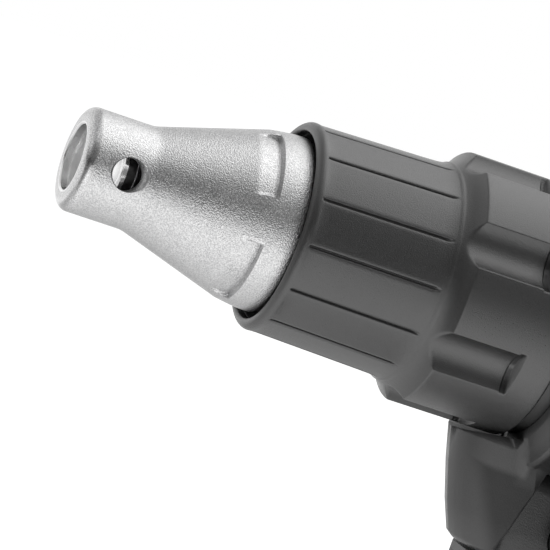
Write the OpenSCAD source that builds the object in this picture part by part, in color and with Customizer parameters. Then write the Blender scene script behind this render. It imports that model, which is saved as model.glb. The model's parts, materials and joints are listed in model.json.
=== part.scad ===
/* [Nosepiece] */
// Radius of the bore in the tip
nose_bore_r = 7.9; // [7.6:0.1:8.3]
// Outside radius of the straight tip
nose_tip_r = 12.5; // [12:0.1:13.5]
// Length of the straight tip
nose_tip_l = 15.5; // [14.6:0.1:16.5]
// Distance from the mouth to the end of the cone
nose_cone_l = 42.6; // [41.5:0.1:43.5]
// Outside radius at the end of the cone
nose_cone_r = 20.4; // [20:0.1:20.6]
// Outside radius where the nosepiece enters the collar
nose_seat_r = 21.2; // [20.9:0.1:21.3]
// Length of nosepiece that shows in front of the collar
nose_show = 50.4; // [49:0.1:53]
// Length of the skirt inside the collar
skirt_l = 15.3; // [13:0.1:17]
// Outside radius of the skirt
skirt_r = 20.5; // [20.2:0.1:20.6]
// Wall of the skirt
skirt_wall = 2.3; // [1.8:0.1:2.5]
// Wall of the cone
cone_wall = 2.4; // [2:0.1:3]
// Radius of the side hole
side_hole_r = 3.9; // [3:0.1:4.2]
// Distance from the mouth to the side hole's centre
side_hole_x = 10.9; // [10.4:0.1:11.2]
// Height of the raised pads over the cone at their rear edge
pad_h = 0.9; // [0.5:0.1:1.2]
// Angle that one pad covers
pad_angle = 58; // [40:1:70]
// Number of raised pads
pads = 4; // [2:1:5]

/* [Depth collar] */
// Length of the collar
collar_l = 67.4; // [66:0.1:70]
// Radius of the collar's grooved front
grip_r = 25.3; // [25:0.1:25.8]
// Radius of the grooved part before the flare
grip_rear_r = 26.2; // [25.9:0.1:26.6]
// Radius of the collar's barrel
barrel_r = 30.6; // [30.2:0.1:30.9]
// Length of the grooved part
grip_l = 31.4; // [30:0.1:32.5]
// Length of the flare from the grooved part to the barrel
flare_l = 9; // [8:0.1:10]
// Number of grooves round the collar
grooves = 14; // [8:2:18]
// Width of a groove
groove_w = 0.7; // [0.5:0.1:1.2]
// Depth of a groove
groove_d = 0.7; // [0.4:0.1:0.9]
// Number of finger scoops
scoops = 7; // [5:1:8]
// Radius of the cut that makes a scoop
scoop_r = 7.2; // [6.5:0.1:8]
// Depth of a scoop
scoop_d = 3.1; // [2.4:0.1:3.2]
// Length of a scoop
scoop_l = 19.5; // [17:0.1:20]
// Depth of the dark pocket at a scoop's end
pocket_l = 1.6; // [0.8:0.1:1.8]
// Way that the collar moves to each side of its middle setting
depth_travel = 3; // [2:0.1:3]
// Wall of the soft cover over the hard core
cover_wall = 2; // [1.6:0.1:2.2]

/* [Bit holder and spindle] */
// Distance from the mouth to the front of the bit holder
holder_x = 11; // [10.5:0.1:12]
// Radius of the bit holder
holder_r = 5.5; // [5:0.1:5.8]
// Length of the bit holder in front of the spindle
holder_l = 36; // [34:0.5:38]
// Bit socket, across its flats
bit_af = 6.45; // [6.4:0.05:6.6]
// Depth of the bit socket
bit_depth = 12; // [9:0.5:14]
// Length of the holder's hexagon shank
shank_l = 18; // [14:0.5:20]
// Radius of the spindle's front
spindle_r = 8; // [7.6:0.1:8.2]
// Radius of the spindle's journal under the gear
journal_r = 5; // [4.6:0.1:5.2]
// Radius of the spindle's tail
tail_r = 4; // [3.4:0.1:4.2]
// Way that the spindle is pushed in before the clutch bites
push_travel = 3; // [2.5:0.1:3.2]
// Reach of a clutch dog
dog_h = 2.5; // [2:0.1:2.7]
// Number of clutch dogs on each face
dogs = 3; // [2:1:4]

/* [Gears] */
// Module of the teeth
tooth_m = 0.9; // [0.88:0.01:0.92]
// Teeth on the pinion
pinion_z = 8; // [8:1:9]
// Teeth on the drive gear
gear_z = 32; // [31:1:33]
// Width of the drive gear
gear_w = 10; // [8:0.5:10.5]
// Play between the teeth
tooth_play = 0.12; // [0.08:0.01:0.16]

/* [Gear case] */
// Radius of the dark ring in the gap
case_r = 28.5; // [28:0.1:28.6]
// Radius of the threaded boss under the collar
boss_r = 22; // [21.5:0.1:22.1]
// Radius of the snout that the sleeve slides on
snout_r = 15.8; // [15.4:0.1:15.9]
// Width of the open gap behind the collar
gap_w = 3.7; // [3.6:0.1:4.5]
// Wall of the gear plate
plate_t = 4; // [3.5:0.1:5]
// Radius of the gear plate and of the case's rear
plate_r = 30; // [29.5:0.1:30.5]

/* [Motor] */
// Outside radius of the stator
stator_r = 23; // [21:0.1:23.2]
// Length of the stator
stator_l = 26; // [22:0.5:27]
// Radius of the rotor
rotor_r = 12.7; // [11.5:0.1:12.9]
// Radius of the motor shaft
shaft_r = 2.5; // [2.3:0.1:2.6]
// Radius of the cooling fan
fan_r = 20; // [17:0.1:21]
// Number of fan blades
fan_blades = 11; // [7:1:15]

/* [Housing] */
// Radius of the lip at the front of the housing
lip_r = 37; // [36.5:0.1:37.5]
// Radius of the housing's front edge
mouth_r = 31; // [30.8:0.1:31.6]
// Wall of the housing shells
shell_wall = 2.5; // [2.2:0.1:2.8]
// Thickness of the soft covers on the handle
cover_t = 1.2; // [1:0.1:1.4]
// Length of the housing behind its lip
body_l = 97.5; // [96:0.5:100]
// Length of the soft bumper at the rear
bumper_l = 8; // [6:0.5:10]
// Half width of the handle at its waist
handle_b = 16.5; // [16:0.1:17.5]
// Half width of the foot
foot_b = 35; // [33:0.5:36]
// Height of the foot from its top edge to the pack
foot_h = 24; // [23:0.5:26]
// Length of the foot
foot_l = 108; // [106:0.5:110]
// Distance from the spindle's axis down to the foot's underside
foot_drop = 186; // [184:0.5:190]

/* [Controls] */
// Height of the trigger
trigger_h = 35; // [30:0.5:36]
// Half width of the trigger
trigger_b = 9.5; // [8:0.1:10]
// Travel of the trigger
trigger_travel = 6; // [4:0.1:6.2]
// Radius of the lock button
lock_r = 5; // [4:0.1:5.5]
// Travel of the lock button
lock_travel = 2.5; // [1.5:0.1:2.6]
// Radius of the direction button
direction_r = 5.2; // [4:0.1:5.5]
// Travel of the direction button to each side
direction_travel = 4; // [3:0.1:4.5]

/* [Battery pack] */
// Half width of the pack
pack_b = 36.5; // [36:0.5:38]
// Height of the pack under the foot
pack_h = 38; // [37.5:0.5:42]
// Radius of one cell
cell_r = 9.1; // [8.5:0.1:9.2]
// Room at each end of a cell, with the pack's wall
cell_end_room = 4; // [3.7:0.1:6]
// Number of cells
cell_n = 5; // [4:1:5]
// Travel of the latch
latch_travel = 4; // [3.5:0.1:4.5]

/* [Hidden] */
// Sides of a turned surface
turn_fn = 96;
// Clearance between pieces that move past each other
slip = 0.3;
// Clearance between pieces of one body that sit together
seat = 0.05;
// Running clearance of a shaft
run = 0.05;
// Overshoot of a cutting shape
cut = 1;

// Stations along the spindle's axis, from the mouth rearwards
collar_x0 = nose_show;
collar_x1 = collar_x0 + collar_l;
flare_x0 = collar_x0 + grip_l;
barrel_x0 = flare_x0 + flare_l;
body_x0 = collar_x1 + gap_w;
skirt_x1 = collar_x0 + skirt_l;
flange_w = 3;
flange_x0 = skirt_x1 + slip;
flange_x1 = flange_x0 + flange_w;
sleeve_x0 = collar_x0 + 5.6;
sleeve_x1 = flange_x1 + 19;
thread_x0 = sleeve_x1 - 0.5;
boss_x0 = sleeve_x1 + depth_travel + 0.5;
case_step_x = collar_x1 - depth_travel - 0.8;
skirt_step_x = case_step_x - depth_travel - 0.6;
scoop_x0 = barrel_x0 - 2.7;
scoop_x1 = scoop_x0 + scoop_l;
pocket_x1 = min(scoop_x1 + pocket_l, skirt_step_x - 0.8);
chamber_x0 = collar_x1 - 13.8;
seat_x0 = collar_x0 + 11.6;
bearing_x0 = seat_x0 + 7.9;
bearing_w = 8;
disc_x0 = body_x0 - 9.5;
disc_w = 5;
dog_x0 = disc_x0 + disc_w;
gear_dog_x0 = dog_x0 + push_travel + 0.3;
gear_hub_x0 = gear_dog_x0 + dog_h;
gear_x0 = body_x0 + 8.5;
gear_x1 = gear_x0 + gear_w;
plate_x0 = body_x0 + 24.5;
plate_x1 = plate_x0 + plate_t;
flange_seat_x = body_x0 + 7;
journal_x1 = plate_x0 - push_travel - 1;
bush_x0 = plate_x0 + 1;
bush_l = 11;
bush_r = 7;
tail_x1 = bush_x0 + bush_l - push_travel;
holder_x1 = holder_x + holder_l;
shank_x1 = holder_x1 + shank_l;

// Radii round the spindle
shoulder_r = skirt_r + 0.4;
flange_r = shoulder_r + 1.3;
sleeve_r = 19.6;
spigot_r = skirt_r - skirt_wall - slip;
collar_mouth_r = nose_seat_r + 0.5;
core_r = grip_r - cover_wall;
core_barrel_r = barrel_r - scoop_d - 0.9;
skirt_inner_r = case_r + slip + 0.1;
bearing_r = 13.6;
snout_bore_r = spindle_r + 0.6;
disc_r = 12;
dog_r0 = 8.2;
spring_r = 6.4;
spring_wire = 1;

// Gear sizes from the module and the tooth counts
pressure = 20;
shift = 0.4;
centre_d = tooth_m * (pinion_z + gear_z) / 2;
gear_tip_r = tooth_m * gear_z / 2 + 0.45 * tooth_m;
pinion_tip_r = tooth_m * pinion_z / 2 + 1.22 * tooth_m;
chamber_r = gear_tip_r + 1.2;
motor_z = -centre_d;
pinion_seat_r = shaft_r - 0.7;

// Motor stations
stator_x0 = plate_x1 + 16;
stator_x1 = stator_x0 + stator_l;
fan_x0 = stator_x1 + 6;
fan_w = 8;
bell_x0 = fan_x0 + fan_w + 2;
bell_w = 5;
board_t = 1.6;
board_x0 = stator_x0 - 7;
stator_yoke = 4;
stator_bore_r = rotor_r + 0.5;
stator_teeth = 6;
ball_bearing_r = 6.5;
ball_bearing_w = 4;

// Housing stations
lip_x = body_x0 + 3.2;
body_x1 = lip_x + body_l;
bumper_x1 = body_x1 + bumper_l;
neck_top_z = -31.6;
neck_step_z = -57;
handle_top_z = -20;
foot_top_z = -foot_drop + foot_h;
foot_x0 = 128;
foot_x1 = foot_x0 + foot_l;
saddle_r = barrel_r + 1.1;
bore_in_lip_r = case_r + slip;
cavity_x0 = flange_seat_x - slip;
cavity_x1 = body_x1 - shell_wall;
neck_floor_x = 135;

// Control stations
trigger_top_z = neck_step_z - 1;
trigger_front_x = 120.3;
trigger_back_x = 139;
trigger_mid_z = trigger_top_z - trigger_h / 2;
switch_x0 = trigger_back_x + trigger_travel + 3;
switch_l = 16;
switch_b = 9.5;
switch_top_z = trigger_top_z - 2;
switch_h = 31;
stem_r = 2.6;
stem_reach = 10;
lock_x = switch_x0 + 10;
lock_z = switch_top_z - 10;
direction_x = 141;
direction_z = -48;

// Pack stations
rail_z0 = -foot_drop - 8;
rail_b = pack_b - 9.5;
rail_web_b = rail_b - 5;
rail_flange_t = 3.6;
rail_x0 = foot_x0 + 14;
pack_top_z = -foot_drop - slip;
pack_floor_z = rail_z0 - slip;
pack_base_z = -foot_drop - pack_h;
split_z = pack_floor_z - 3;
pack_wall = 2.4;
pack_r = 7;
cell_l = 2 * (pack_b - cell_end_room);
cell_z = pack_base_z + 2.6 + cell_r;
cell_pitch = 2 * cell_r + 0.8;
cell_x0 = foot_x1 - pack_wall - 1.5 - cell_r - cell_pitch * (cell_n - 1);
latch_x0 = foot_x0 + 3;
latch_l = 8;
latch_b = 11;
hook_r = 2.1;
hook_x = foot_x0 + 42;
hook_z = foot_top_z - 9;
hook_l = 9;
insert_r = 3.2;

// Room between the motor and the housing under it
motor_gap = 0.7;

// Place of the origin: under the middle of the pack
origin_x = (foot_x0 + foot_x1) / 2;
origin_z = pack_base_z;

// Screw places in the side view, joining the two shells
screw_places = [[body_x0 + 37.5, 22], [bell_x0 + bell_w + 4.8, 9], [bell_x0 + bell_w + 4.8, -27],
    [switch_x0 + 17.5, -51], [switch_x0 + 18, -112], [switch_x0 + 27, -148],
    [foot_x0 + 7.5, foot_top_z - 14], [foot_x1 - 9, foot_top_z - 14]];
screw_r = 1.5;
screw_head_r = 3;
screw_boss_r = 4;
screw_b = [16, 16, 16, 11, 10, 10, 15, 15];
case_screw_r = 2;
case_screw_pcr = 25.6;

module placed() translate([-origin_x, 0, -origin_z]) children();

// A shape turned round the spindle's axis, from points [radius, distance from the mouth]
module turned(points) rotate([0, 90, 0]) rotate_extrude($fn = turn_fn) polygon(points);

// A rod or a tube along the spindle's axis, at a height
module rod(x0, x1, r, z = 0, y = 0, fn = turn_fn)
    translate([x0, y, z]) rotate([0, 90, 0]) cylinder(h = x1 - x0, r = r, $fn = fn);
module tube(x0, x1, r1, r0, z = 0, y = 0) difference() {
    rod(x0, x1, r1, z, y);
    rod(x0 - cut, x1 + cut, r0, z, y);
}
// A cylinder from left to right
module cross_rod(x, z, y0, y1, r, fn = 48)
    translate([x, y0, z]) rotate([-90, 0, 0]) cylinder(h = y1 - y0, r = r, $fn = fn);
// A box from its two corners
module box(a, b) translate(a) cube(b - a);
// Copies turned round the spindle's axis, the first at the left side
module round_axis(n, start = 0) for (i = [0 : n - 1]) rotate([start + i * 360 / n, 0, 0]) children();
// A hexagon bar along the axis
module hexagon(x0, x1, flats) translate([x0, 0, 0]) rotate([0, 90, 0])
    cylinder(h = x1 - x0, r = flats / sqrt(3), $fn = 6);

// Helical spring along Z: mean radius, wire, length and turns
function spring_ring(mean_r, wire, a, z) = [for (k = [0 : 5])
    let (r = mean_r + wire / 2 * cos(60 * k)) [r * cos(a), r * sin(a), z + wire / 2 * sin(60 * k)]];
module spring(mean_r, wire, length, turns) {
    steps = turns * 10;
    rise = (length - wire) / steps;
    points = [for (i = [0 : steps]) each spring_ring(mean_r, wire, 36 * i, wire / 2 + rise * i)];
    last = steps * 6;
    sides = [for (i = [0 : steps - 1], k = [0 : 5])
        [6 * i + k, 6 * i + (k + 1) % 6, 6 * i + 6 + (k + 1) % 6, 6 * i + 6 + k]];
    polyhedron(points, concat(sides, [[5, 4, 3, 2, 1, 0], [for (k = [0 : 5]) last + k]]), convexity = 6);
}

// Skin over a row of sections that have the same number of points
module skin(rings) {
    n = len(rings[0]);
    m = len(rings);
    sides = [for (i = [0 : m - 2], k = [0 : n - 1])
        [n * i + k, n * i + n + k, n * i + n + (k + 1) % n, n * i + (k + 1) % n]];
    caps = [[for (k = [0 : n - 1]) k], [for (k = [n - 1 : -1 : 0]) n * (m - 1) + k]];
    polyhedron([for (ring = rings) each ring], concat(sides, caps), convexity = 8);
}
function power(v, e) = sign(v) * pow(abs(v), 2 / e);
// Sides of a section: outside, under the soft covers, and of the hollows
body_sides = 32;
handle_sides = 28;
under_sides = 20;
hollow_sides = 16;
function sides_for(inset, outside) = inset <= 0 ? outside : inset <= cover_t ? under_sides : hollow_sides;
// Section of the housing at x: centre height, reach up and down, half width, squareness, inset
function body_ring(s, inset) = let (n = sides_for(inset, body_sides)) [for (i = [0 : n - 1])
    let (a = i * 360 / n, v = power(sin(a), s[4]))
    [s[0], (s[3] - inset) * power(cos(a), s[4]), s[1] + v * (s[2] - inset)]];
// Section of the handle at z: middle x, reach to the front and rear, half width, squareness, inset
function handle_ring(s, inset) = let (n = sides_for(inset, handle_sides)) [for (i = [0 : n - 1])
    let (a = -i * 360 / n, v = power(cos(a), s[5]))
    [s[1] + v * ((v < 0 ? s[2] : s[3]) - inset), (s[4] - inset) * power(sin(a), s[5]), s[0]]];

// Sections: x, centre height, reach up and down, half width, squareness
motor_room = stator_r + motor_gap + shell_wall - motor_z;
body_sections = [[lip_x - 0.4, 0, lip_r - 0.3, lip_r - 0.3, 2],
    [lip_x + 10, -0.5, lip_r, lip_r - 0.4, 2],
    [lip_x + 30, -2.5, lip_r + 1, lip_r - 1, 2.05],
    [lip_x + 50, -6, motor_room - 6, lip_r - 2, 2.1],
    [lip_x + 72, -9, motor_room - 7.2, lip_r - 3, 2.15],
    [body_x1 - 8, -11, motor_room - 9.8, lip_r - 5, 2.15],
    [body_x1, -11.8, motor_room - 12.2, lip_r - 7, 2.15]];
bumper_sections = [[body_x1, -11.8, motor_room - 12.2, lip_r - 7, 2.15],
    [body_x1 + bumper_l * 0.45, -12.3, motor_room - 14.6, lip_r - 9.4, 2.15],
    [body_x1 + bumper_l * 0.8, -12.8, motor_room - 18.2, lip_r - 13, 2.1],
    [bumper_x1, -13.2, motor_room - 24.2, lip_r - 19, 2]];
// Sections: z, middle x, reach to the front, reach to the rear, half width, squareness
neck_sections = [[neck_top_z + 12, 134, 27, 20, 15, 2.6],
    [neck_top_z, 134, 25.7, 22, 14.5, 2.5],
    [-39.7, 135, 24.5, 22, 14.2, 2.35],
    [-48.8, 136, 22.4, 22, 14, 2.25],
    [neck_step_z + 1.2, 136.5, 19.8, 22, 13.8, 2.2],
    [neck_step_z, 137, 18.6, 22, 13.4, 2.2]];
handle_sections = [[handle_top_z, 152, 24, 36, handle_b + 4, 2.4],
    [-36, 151, 21, 30, handle_b + 1.5, 2.4],
    [-50, 151, 19, 24, handle_b, 2.4],
    [-66, 153, 22, 21.5, handle_b, 2.4],
    [-95, 159, 24.5, 21, handle_b + 0.4, 2.4],
    [-120, 164, 24.5, 22.5, handle_b + 1, 2.4],
    [-145, 169, 24, 23.5, handle_b + 0.6, 2.4],
    [foot_top_z + 4, 173, 25, 26, handle_b + 1.5, 2.5],
    [foot_top_z - 4, 176, 28, 30, handle_b + 4, 2.6]];
foot_mid = (foot_x0 + foot_x1) / 2;
foot_sections = [[foot_top_z + 2, foot_mid - 4, foot_l / 2 - 26, foot_l / 2 - 20, foot_b - 12, 2.6],
    [foot_top_z - 3, foot_mid - 1, foot_l / 2 - 9, foot_l / 2 - 7, foot_b - 3.5, 3.2],
    [foot_top_z - 9, foot_mid, foot_l / 2 - 2, foot_l / 2 - 2, foot_b - 0.5, 4],
    [-foot_drop, foot_mid, foot_l / 2, foot_l / 2, foot_b, 5]];
module body_skin(inset) skin([for (s = body_sections) body_ring(s, inset)]);
module neck_skin(inset) skin([for (s = neck_sections) handle_ring(s, inset)]);
module handle_skin(inset) skin([for (s = handle_sections) handle_ring(s, inset)]);
module stem_skin(inset) {
    neck_skin(inset);
    handle_skin(inset);
}
module foot_skin(inset) skin([for (s = foot_sections) handle_ring(s, inset)]);

// Area in the side view that the soft handle covers take
module grip_area() polygon([[131.5, -30], [129.9, -33.4], [124.8, neck_step_z + 2],
    [129, neck_step_z - 0.5], [131.5, trigger_top_z - trigger_h - 1],
    [133, trigger_top_z - trigger_h - 4], [140, foot_top_z + 12], [152, foot_top_z + 7],
    [196, foot_top_z + 7], [204, foot_top_z + 16], [196, -100], [182, -52], [176, -44], [150, -36]]);
module grip_slab() translate([0, 60, 0]) rotate([90, 0, 0]) linear_extrude(120) grip_area();
module grip_solid(side) intersection() {
    difference() {
        stem_skin(0);
        stem_skin(cover_t);
        body_skin(-slip);
        rod(80, flange_seat_x + 2, lip_r + slip);
        trigger_space();
        cross_rod(lock_x, lock_z, -40, 0, lock_r + slip);
        cross_rod(direction_x, direction_z, -40, 40, direction_r + slip);
        for (p = screw_places) cross_rod(p[0], p[1], 0, 60, screw_head_r + seat);
    }
    grip_slab();
    half(side);
}
module half(side) box([-10, side < 0 ? -80 : 0, -300], [300, side < 0 ? 0 : 80, 80]);
module trigger_space() box([100, -trigger_b - slip, trigger_top_z - trigger_h - 0.6],
    [switch_x0 - 0.3, trigger_b + slip, trigger_top_z + 0.6]);

// Front ring of the housing with its flare and lip
module lip_ring() turned([[bore_in_lip_r, body_x0], [mouth_r, body_x0], [mouth_r + 0.6, body_x0 + 0.25],
    [lip_r - 0.5, lip_x - 0.3], [lip_r, lip_x + 0.3], [lip_r, lip_x + 1.4], [lip_r - 0.3, lip_x + 1.7],
    [lip_r - 0.3, cavity_x0 - seat], [bore_in_lip_r, cavity_x0 - seat]]);
module housing_outside() {
    lip_ring();
    body_skin(0);
    difference() {
        stem_skin(0);
        difference() {
            grip_slab();
            stem_skin(cover_t);
        }
        rod(80, body_x0, saddle_r);
    }
    foot_skin(0);
    rail();
}
// Rail under the foot that the pack slides on
module rail() {
    box([rail_x0, -rail_web_b, rail_z0], [foot_x1 - 4, rail_web_b, -foot_drop + 0.5]);
    box([rail_x0, -rail_b, rail_z0], [foot_x1 - 4, rail_b, rail_z0 + rail_flange_t]);
}
module terminal_space() box([terminal_x0 - seat, -terminal_b - seat, rail_z0 - cut],
    [terminal_x0 + terminal_l + seat, terminal_b + seat, -foot_drop + 1 + seat]);
terminal_x0 = rail_x0 + 22;
terminal_l = 20;
terminal_b = 16;
module housing_inside() {
    difference() {
        intersection() {
            body_skin(shell_wall);
            box([cavity_x0, -60, -80], [cavity_x1, 60, 80]);
        }
        for (x = [cavity_x0 + 3, plate_x0 - 3]) cradle(x, 3, plate_r + seat, 0);
        for (x = [stator_x0 + 2, stator_x1 - 5]) cradle(x, 3, stator_r + seat, motor_z);
        cradle(bell_x0 + 2, 3, stator_r + seat, motor_z);
    }
    stem_cavity();
    difference() {
        intersection() {
            foot_skin(shell_wall + 1.5);
            box([100, -50, -foot_drop + 3], [260, 50, foot_top_z - 1.5]);
        }
        box([100, -latch_b - 3, -foot_drop], [latch_x0 + latch_l + 3, latch_b + 3, -foot_drop + 6.5]);
    }
}
// Hollow of the neck and the handle, with a floor over the trigger and ribs that hold the switch
module stem_cavity() difference() {
    stem_skin(shell_wall + cover_t);
    box([80, -50, -30], [260, 50, 10]);
    rod(80, body_x0, saddle_r + shell_wall);
    rod(body_x0 - cut, cavity_x0, lip_r);
    box([80, -50, neck_step_z - cut], [neck_floor_x, 50, neck_step_z + shell_wall]);
    for (s = [-1, 1]) for (z = [switch_top_z - 3, switch_top_z - switch_h + 1])
        box([switch_x0 + 2, s > 0 ? switch_b + seat : -30, z],
            [switch_x0 + 13, s > 0 ? 30 : -switch_b - seat, z + 2]);
}
// A rib across the housing with a round seat
module cradle(x, width, r, z) difference() {
    box([x, -60, z - r - 30], [x + width, 60, z + r + 60]);
    rod(x - cut, x + width + cut, r, z);
}
module vents() for (s = [-1, 1]) for (i = [0 : 5]) {
    z = motor_z + 18 - 7 * i;
    translate([fan_x0 - 1, s > 0 ? 18 : -60, z]) cube([11, 42, 2.6]);
    cross_rod(fan_x0 - 1, z + 1.3, s > 0 ? 18 : -60, s > 0 ? 60 : -18, 1.3);
    cross_rod(fan_x0 + 10, z + 1.3, s > 0 ? 18 : -60, s > 0 ? 60 : -18, 1.3);
}
module screw_bosses() for (i = [0 : len(screw_places) - 1])
    cross_rod(screw_places[i][0], screw_places[i][1], -60, 60, screw_boss_r);
module latch_space() box([foot_x0 - cut, -latch_b - 0.4, -foot_drop - cut],
    [latch_x0 + latch_l + 0.6, latch_b + 0.4, -foot_drop + 4.2]);
module hook_places() for (s = [-1, 1]) translate([hook_x, s * (foot_b - 0.7 - hook_l), hook_z])
    rotate([-90 * s, 0, 0]) children();

module shell_half(side) color("dimgray") placed() difference() {
    union() {
        intersection() {
            difference() {
                housing_outside();
                housing_inside();
            }
            half(side);
        }
        intersection() {
            housing_outside();
            half(side);
            union() {
                screw_bosses();
                hook_places() translate([0, 0, -2]) cylinder(h = hook_l + 3, r = insert_r + 2, $fn = 32);
            }
        }
    }
    rod(body_x0 - cut, cavity_x0 + cut, bore_in_lip_r);
    trigger_space();
    if (side < 0) cross_rod(lock_x, lock_z, -40, -switch_b - 1, lock_r + slip);
    cross_rod(direction_x, direction_z, -40, 40, direction_r + slip);
    vents();
    latch_space();
    terminal_space();
    hook_places() cylinder(h = hook_l + 20, r = insert_r + seat, $fn = 48);
    for (i = [0 : len(screw_places) - 1]) {
        p = screw_places[i];
        cross_rod(p[0], p[1], -screw_b[i] + 3, 80, screw_r + seat);
        cross_rod(p[0], p[1], screw_b[i] - 4, 80, screw_head_r + seat);
    }
}
module left_shell() shell_half(-1);
module right_shell() shell_half(1);
module left_grip() color("black") placed() grip_solid(-1);
module right_grip() color("black") placed() grip_solid(1);
module rear_bumper() color("black") placed() difference() {
    skin([for (s = bumper_sections) body_ring(s, 0)]);
    // Ribs across the end
    for (i = [-2 : 2]) box([bumper_x1 - 1.2, -14, -14.3 + 5.5 * i], [bumper_x1 + cut, 14, -12.1 + 5.5 * i]);
}
module shell_screws() color("silver") placed() for (i = [0 : len(screw_places) - 1]) {
    p = screw_places[i];
    cross_rod(p[0], p[1], -screw_b[i] + 3.5, screw_b[i] - 4, screw_r);
    difference() {
        cross_rod(p[0], p[1], screw_b[i] - 4, screw_b[i] - 1.6, screw_head_r);
        translate([p[0], screw_b[i] - 1, p[1]]) rotate([90, 0, 0]) cylinder(h = 1.9, r = 1.5, $fn = 6);
    }
}

// Nosepiece: cast cone with a bored tip, a side hole and raised pads
nose_edge = 2.4;
// Middle of the first pad, up from the left side
pad_start = 49.2;
cone_x0 = nose_tip_l + 2.6;
cone_slope = (nose_cone_r - nose_tip_r - 0.3) / (nose_cone_l - cone_x0);
function cone_r(x) = nose_tip_r + 0.3 + cone_slope * (x - cone_x0);
// The bore's front guides, and behind it the bore is relieved round the bit holder
nose_guide_l = 9;
nose_relief = 0.3;
pad_x1 = nose_cone_l + 1.6;
pad_x0 = pad_x1 - 4.6;
module nosepiece() color("lightgray") placed() difference() {
    union() {
        turned(concat([for (a = [0 : 15 : 90])
                [nose_tip_r - nose_edge + nose_edge * sin(a), nose_edge - nose_edge * cos(a)]],
            [[nose_tip_r, nose_tip_l], [nose_tip_r + 0.08, nose_tip_l + 1.3], [cone_r(cone_x0), cone_x0],
            [nose_cone_r, nose_cone_l]],
            [for (i = [1 : 4]) let (t = i / 4) [nose_cone_r + (nose_seat_r - nose_cone_r) * sin(90 * t),
                nose_cone_l + (collar_x0 - nose_cone_l) * t]],
            [[nose_seat_r, collar_x0 + 0.8], [skirt_r, collar_x0 + 1.2], [skirt_r, skirt_x1],
            [0, skirt_x1], [0, 0]]));
        round_axis(pads, -90 - pad_angle / 2 - pad_start) rotate([0, 90, 0])
            rotate_extrude(angle = pad_angle, $fn = turn_fn) polygon([[cone_r(pad_x0) - 1, pad_x0],
                [cone_r(pad_x0), pad_x0],
                [cone_r(pad_x1) + pad_h - 0.3, pad_x1 - 0.5], [cone_r(pad_x1) + pad_h - 0.5, pad_x1],
                [cone_r(pad_x0) - 1, pad_x1]]);
    }
    turned([[0, -cut], [nose_bore_r, -cut], [nose_bore_r, nose_guide_l],
        [nose_bore_r + nose_relief, nose_guide_l + nose_relief],
        [nose_bore_r + nose_relief, nose_tip_l + 1],
        [cone_r(cone_x0) - cone_wall, cone_x0 + 2], [nose_cone_r - cone_wall, nose_cone_l + 2],
        [skirt_r - skirt_wall, collar_x0 + 0.5], [skirt_r - skirt_wall, skirt_x1 + cut],
        [0, skirt_x1 + cut]]);
    cross_rod(side_hole_x, 0.9, -nose_tip_r - 6, 0, side_hole_r);
    translate([side_hole_x, -nose_tip_r - 0.2, 0.9]) rotate([-90, 0, 0])
        cylinder(h = 1.4, r1 = side_hole_r + 1.3, r2 = side_hole_r - 0.1, $fn = 48);
}

// Sleeve that slides on the gear case's snout and carries the nosepiece
key_w = 3;
key_h = 1.1;
key_x0 = flange_x0 + 6;
key_x1 = flange_x0 + 18;
module depth_sleeve() color("gray") placed() difference() {
    turned([[snout_r + slip, sleeve_x0], [spigot_r - 0.6, sleeve_x0], [spigot_r, sleeve_x0 + 0.8],
        [spigot_r, snap_x - 0.75], [spigot_r - 0.9, snap_x - 0.75], [spigot_r - 0.9, snap_x + 0.75],
        [spigot_r, snap_x + 0.75], [spigot_r, flange_x0], [flange_r, flange_x0], [flange_r, flange_x1],
        [sleeve_r, flange_x1], [sleeve_r, sleeve_x1], [snout_r + slip, sleeve_x1]]);
    round_axis(3) box([key_x0 - depth_travel - 0.6, -key_w / 2 - 0.15, 0],
        [sleeve_x1 + cut, key_w / 2 + 0.15, snout_r + key_h + 0.3]);
}
snap_x = sleeve_x0 + 4;
snap_wire_r = 0.5;
module snap_ring() color("silver") placed() translate([snap_x, 0, 0]) rotate([0, 90, 0]) rotate([0, 0, 20])
    rotate_extrude(angle = 320, $fn = 64) translate([spigot_r - 0.32, 0]) circle(r = snap_wire_r, $fn = 24);

// Hard core of the collar: traps the sleeve's flange and runs on the threaded boss
module collar_core() color("dimgray") placed() turned([[shoulder_r, flange_x0 - slip - 3.4],
    [core_r - 0.6, collar_x0 + 2.2], [core_r, collar_x0 + 2.8], [core_r, flare_x0 - 1],
    [core_barrel_r, barrel_x0 + 1], [core_barrel_r, skirt_step_x - 1.2],
    [boss_r + slip, skirt_step_x - 1.2], [boss_r + slip, thread_x0], [sleeve_r + 0.4, thread_x0],
    [sleeve_r + 0.4, flange_x1 + slip], [flange_r + slip, flange_x1 + slip],
    [flange_r + slip, flange_x0 - slip], [shoulder_r, flange_x0 - slip]]);

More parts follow.
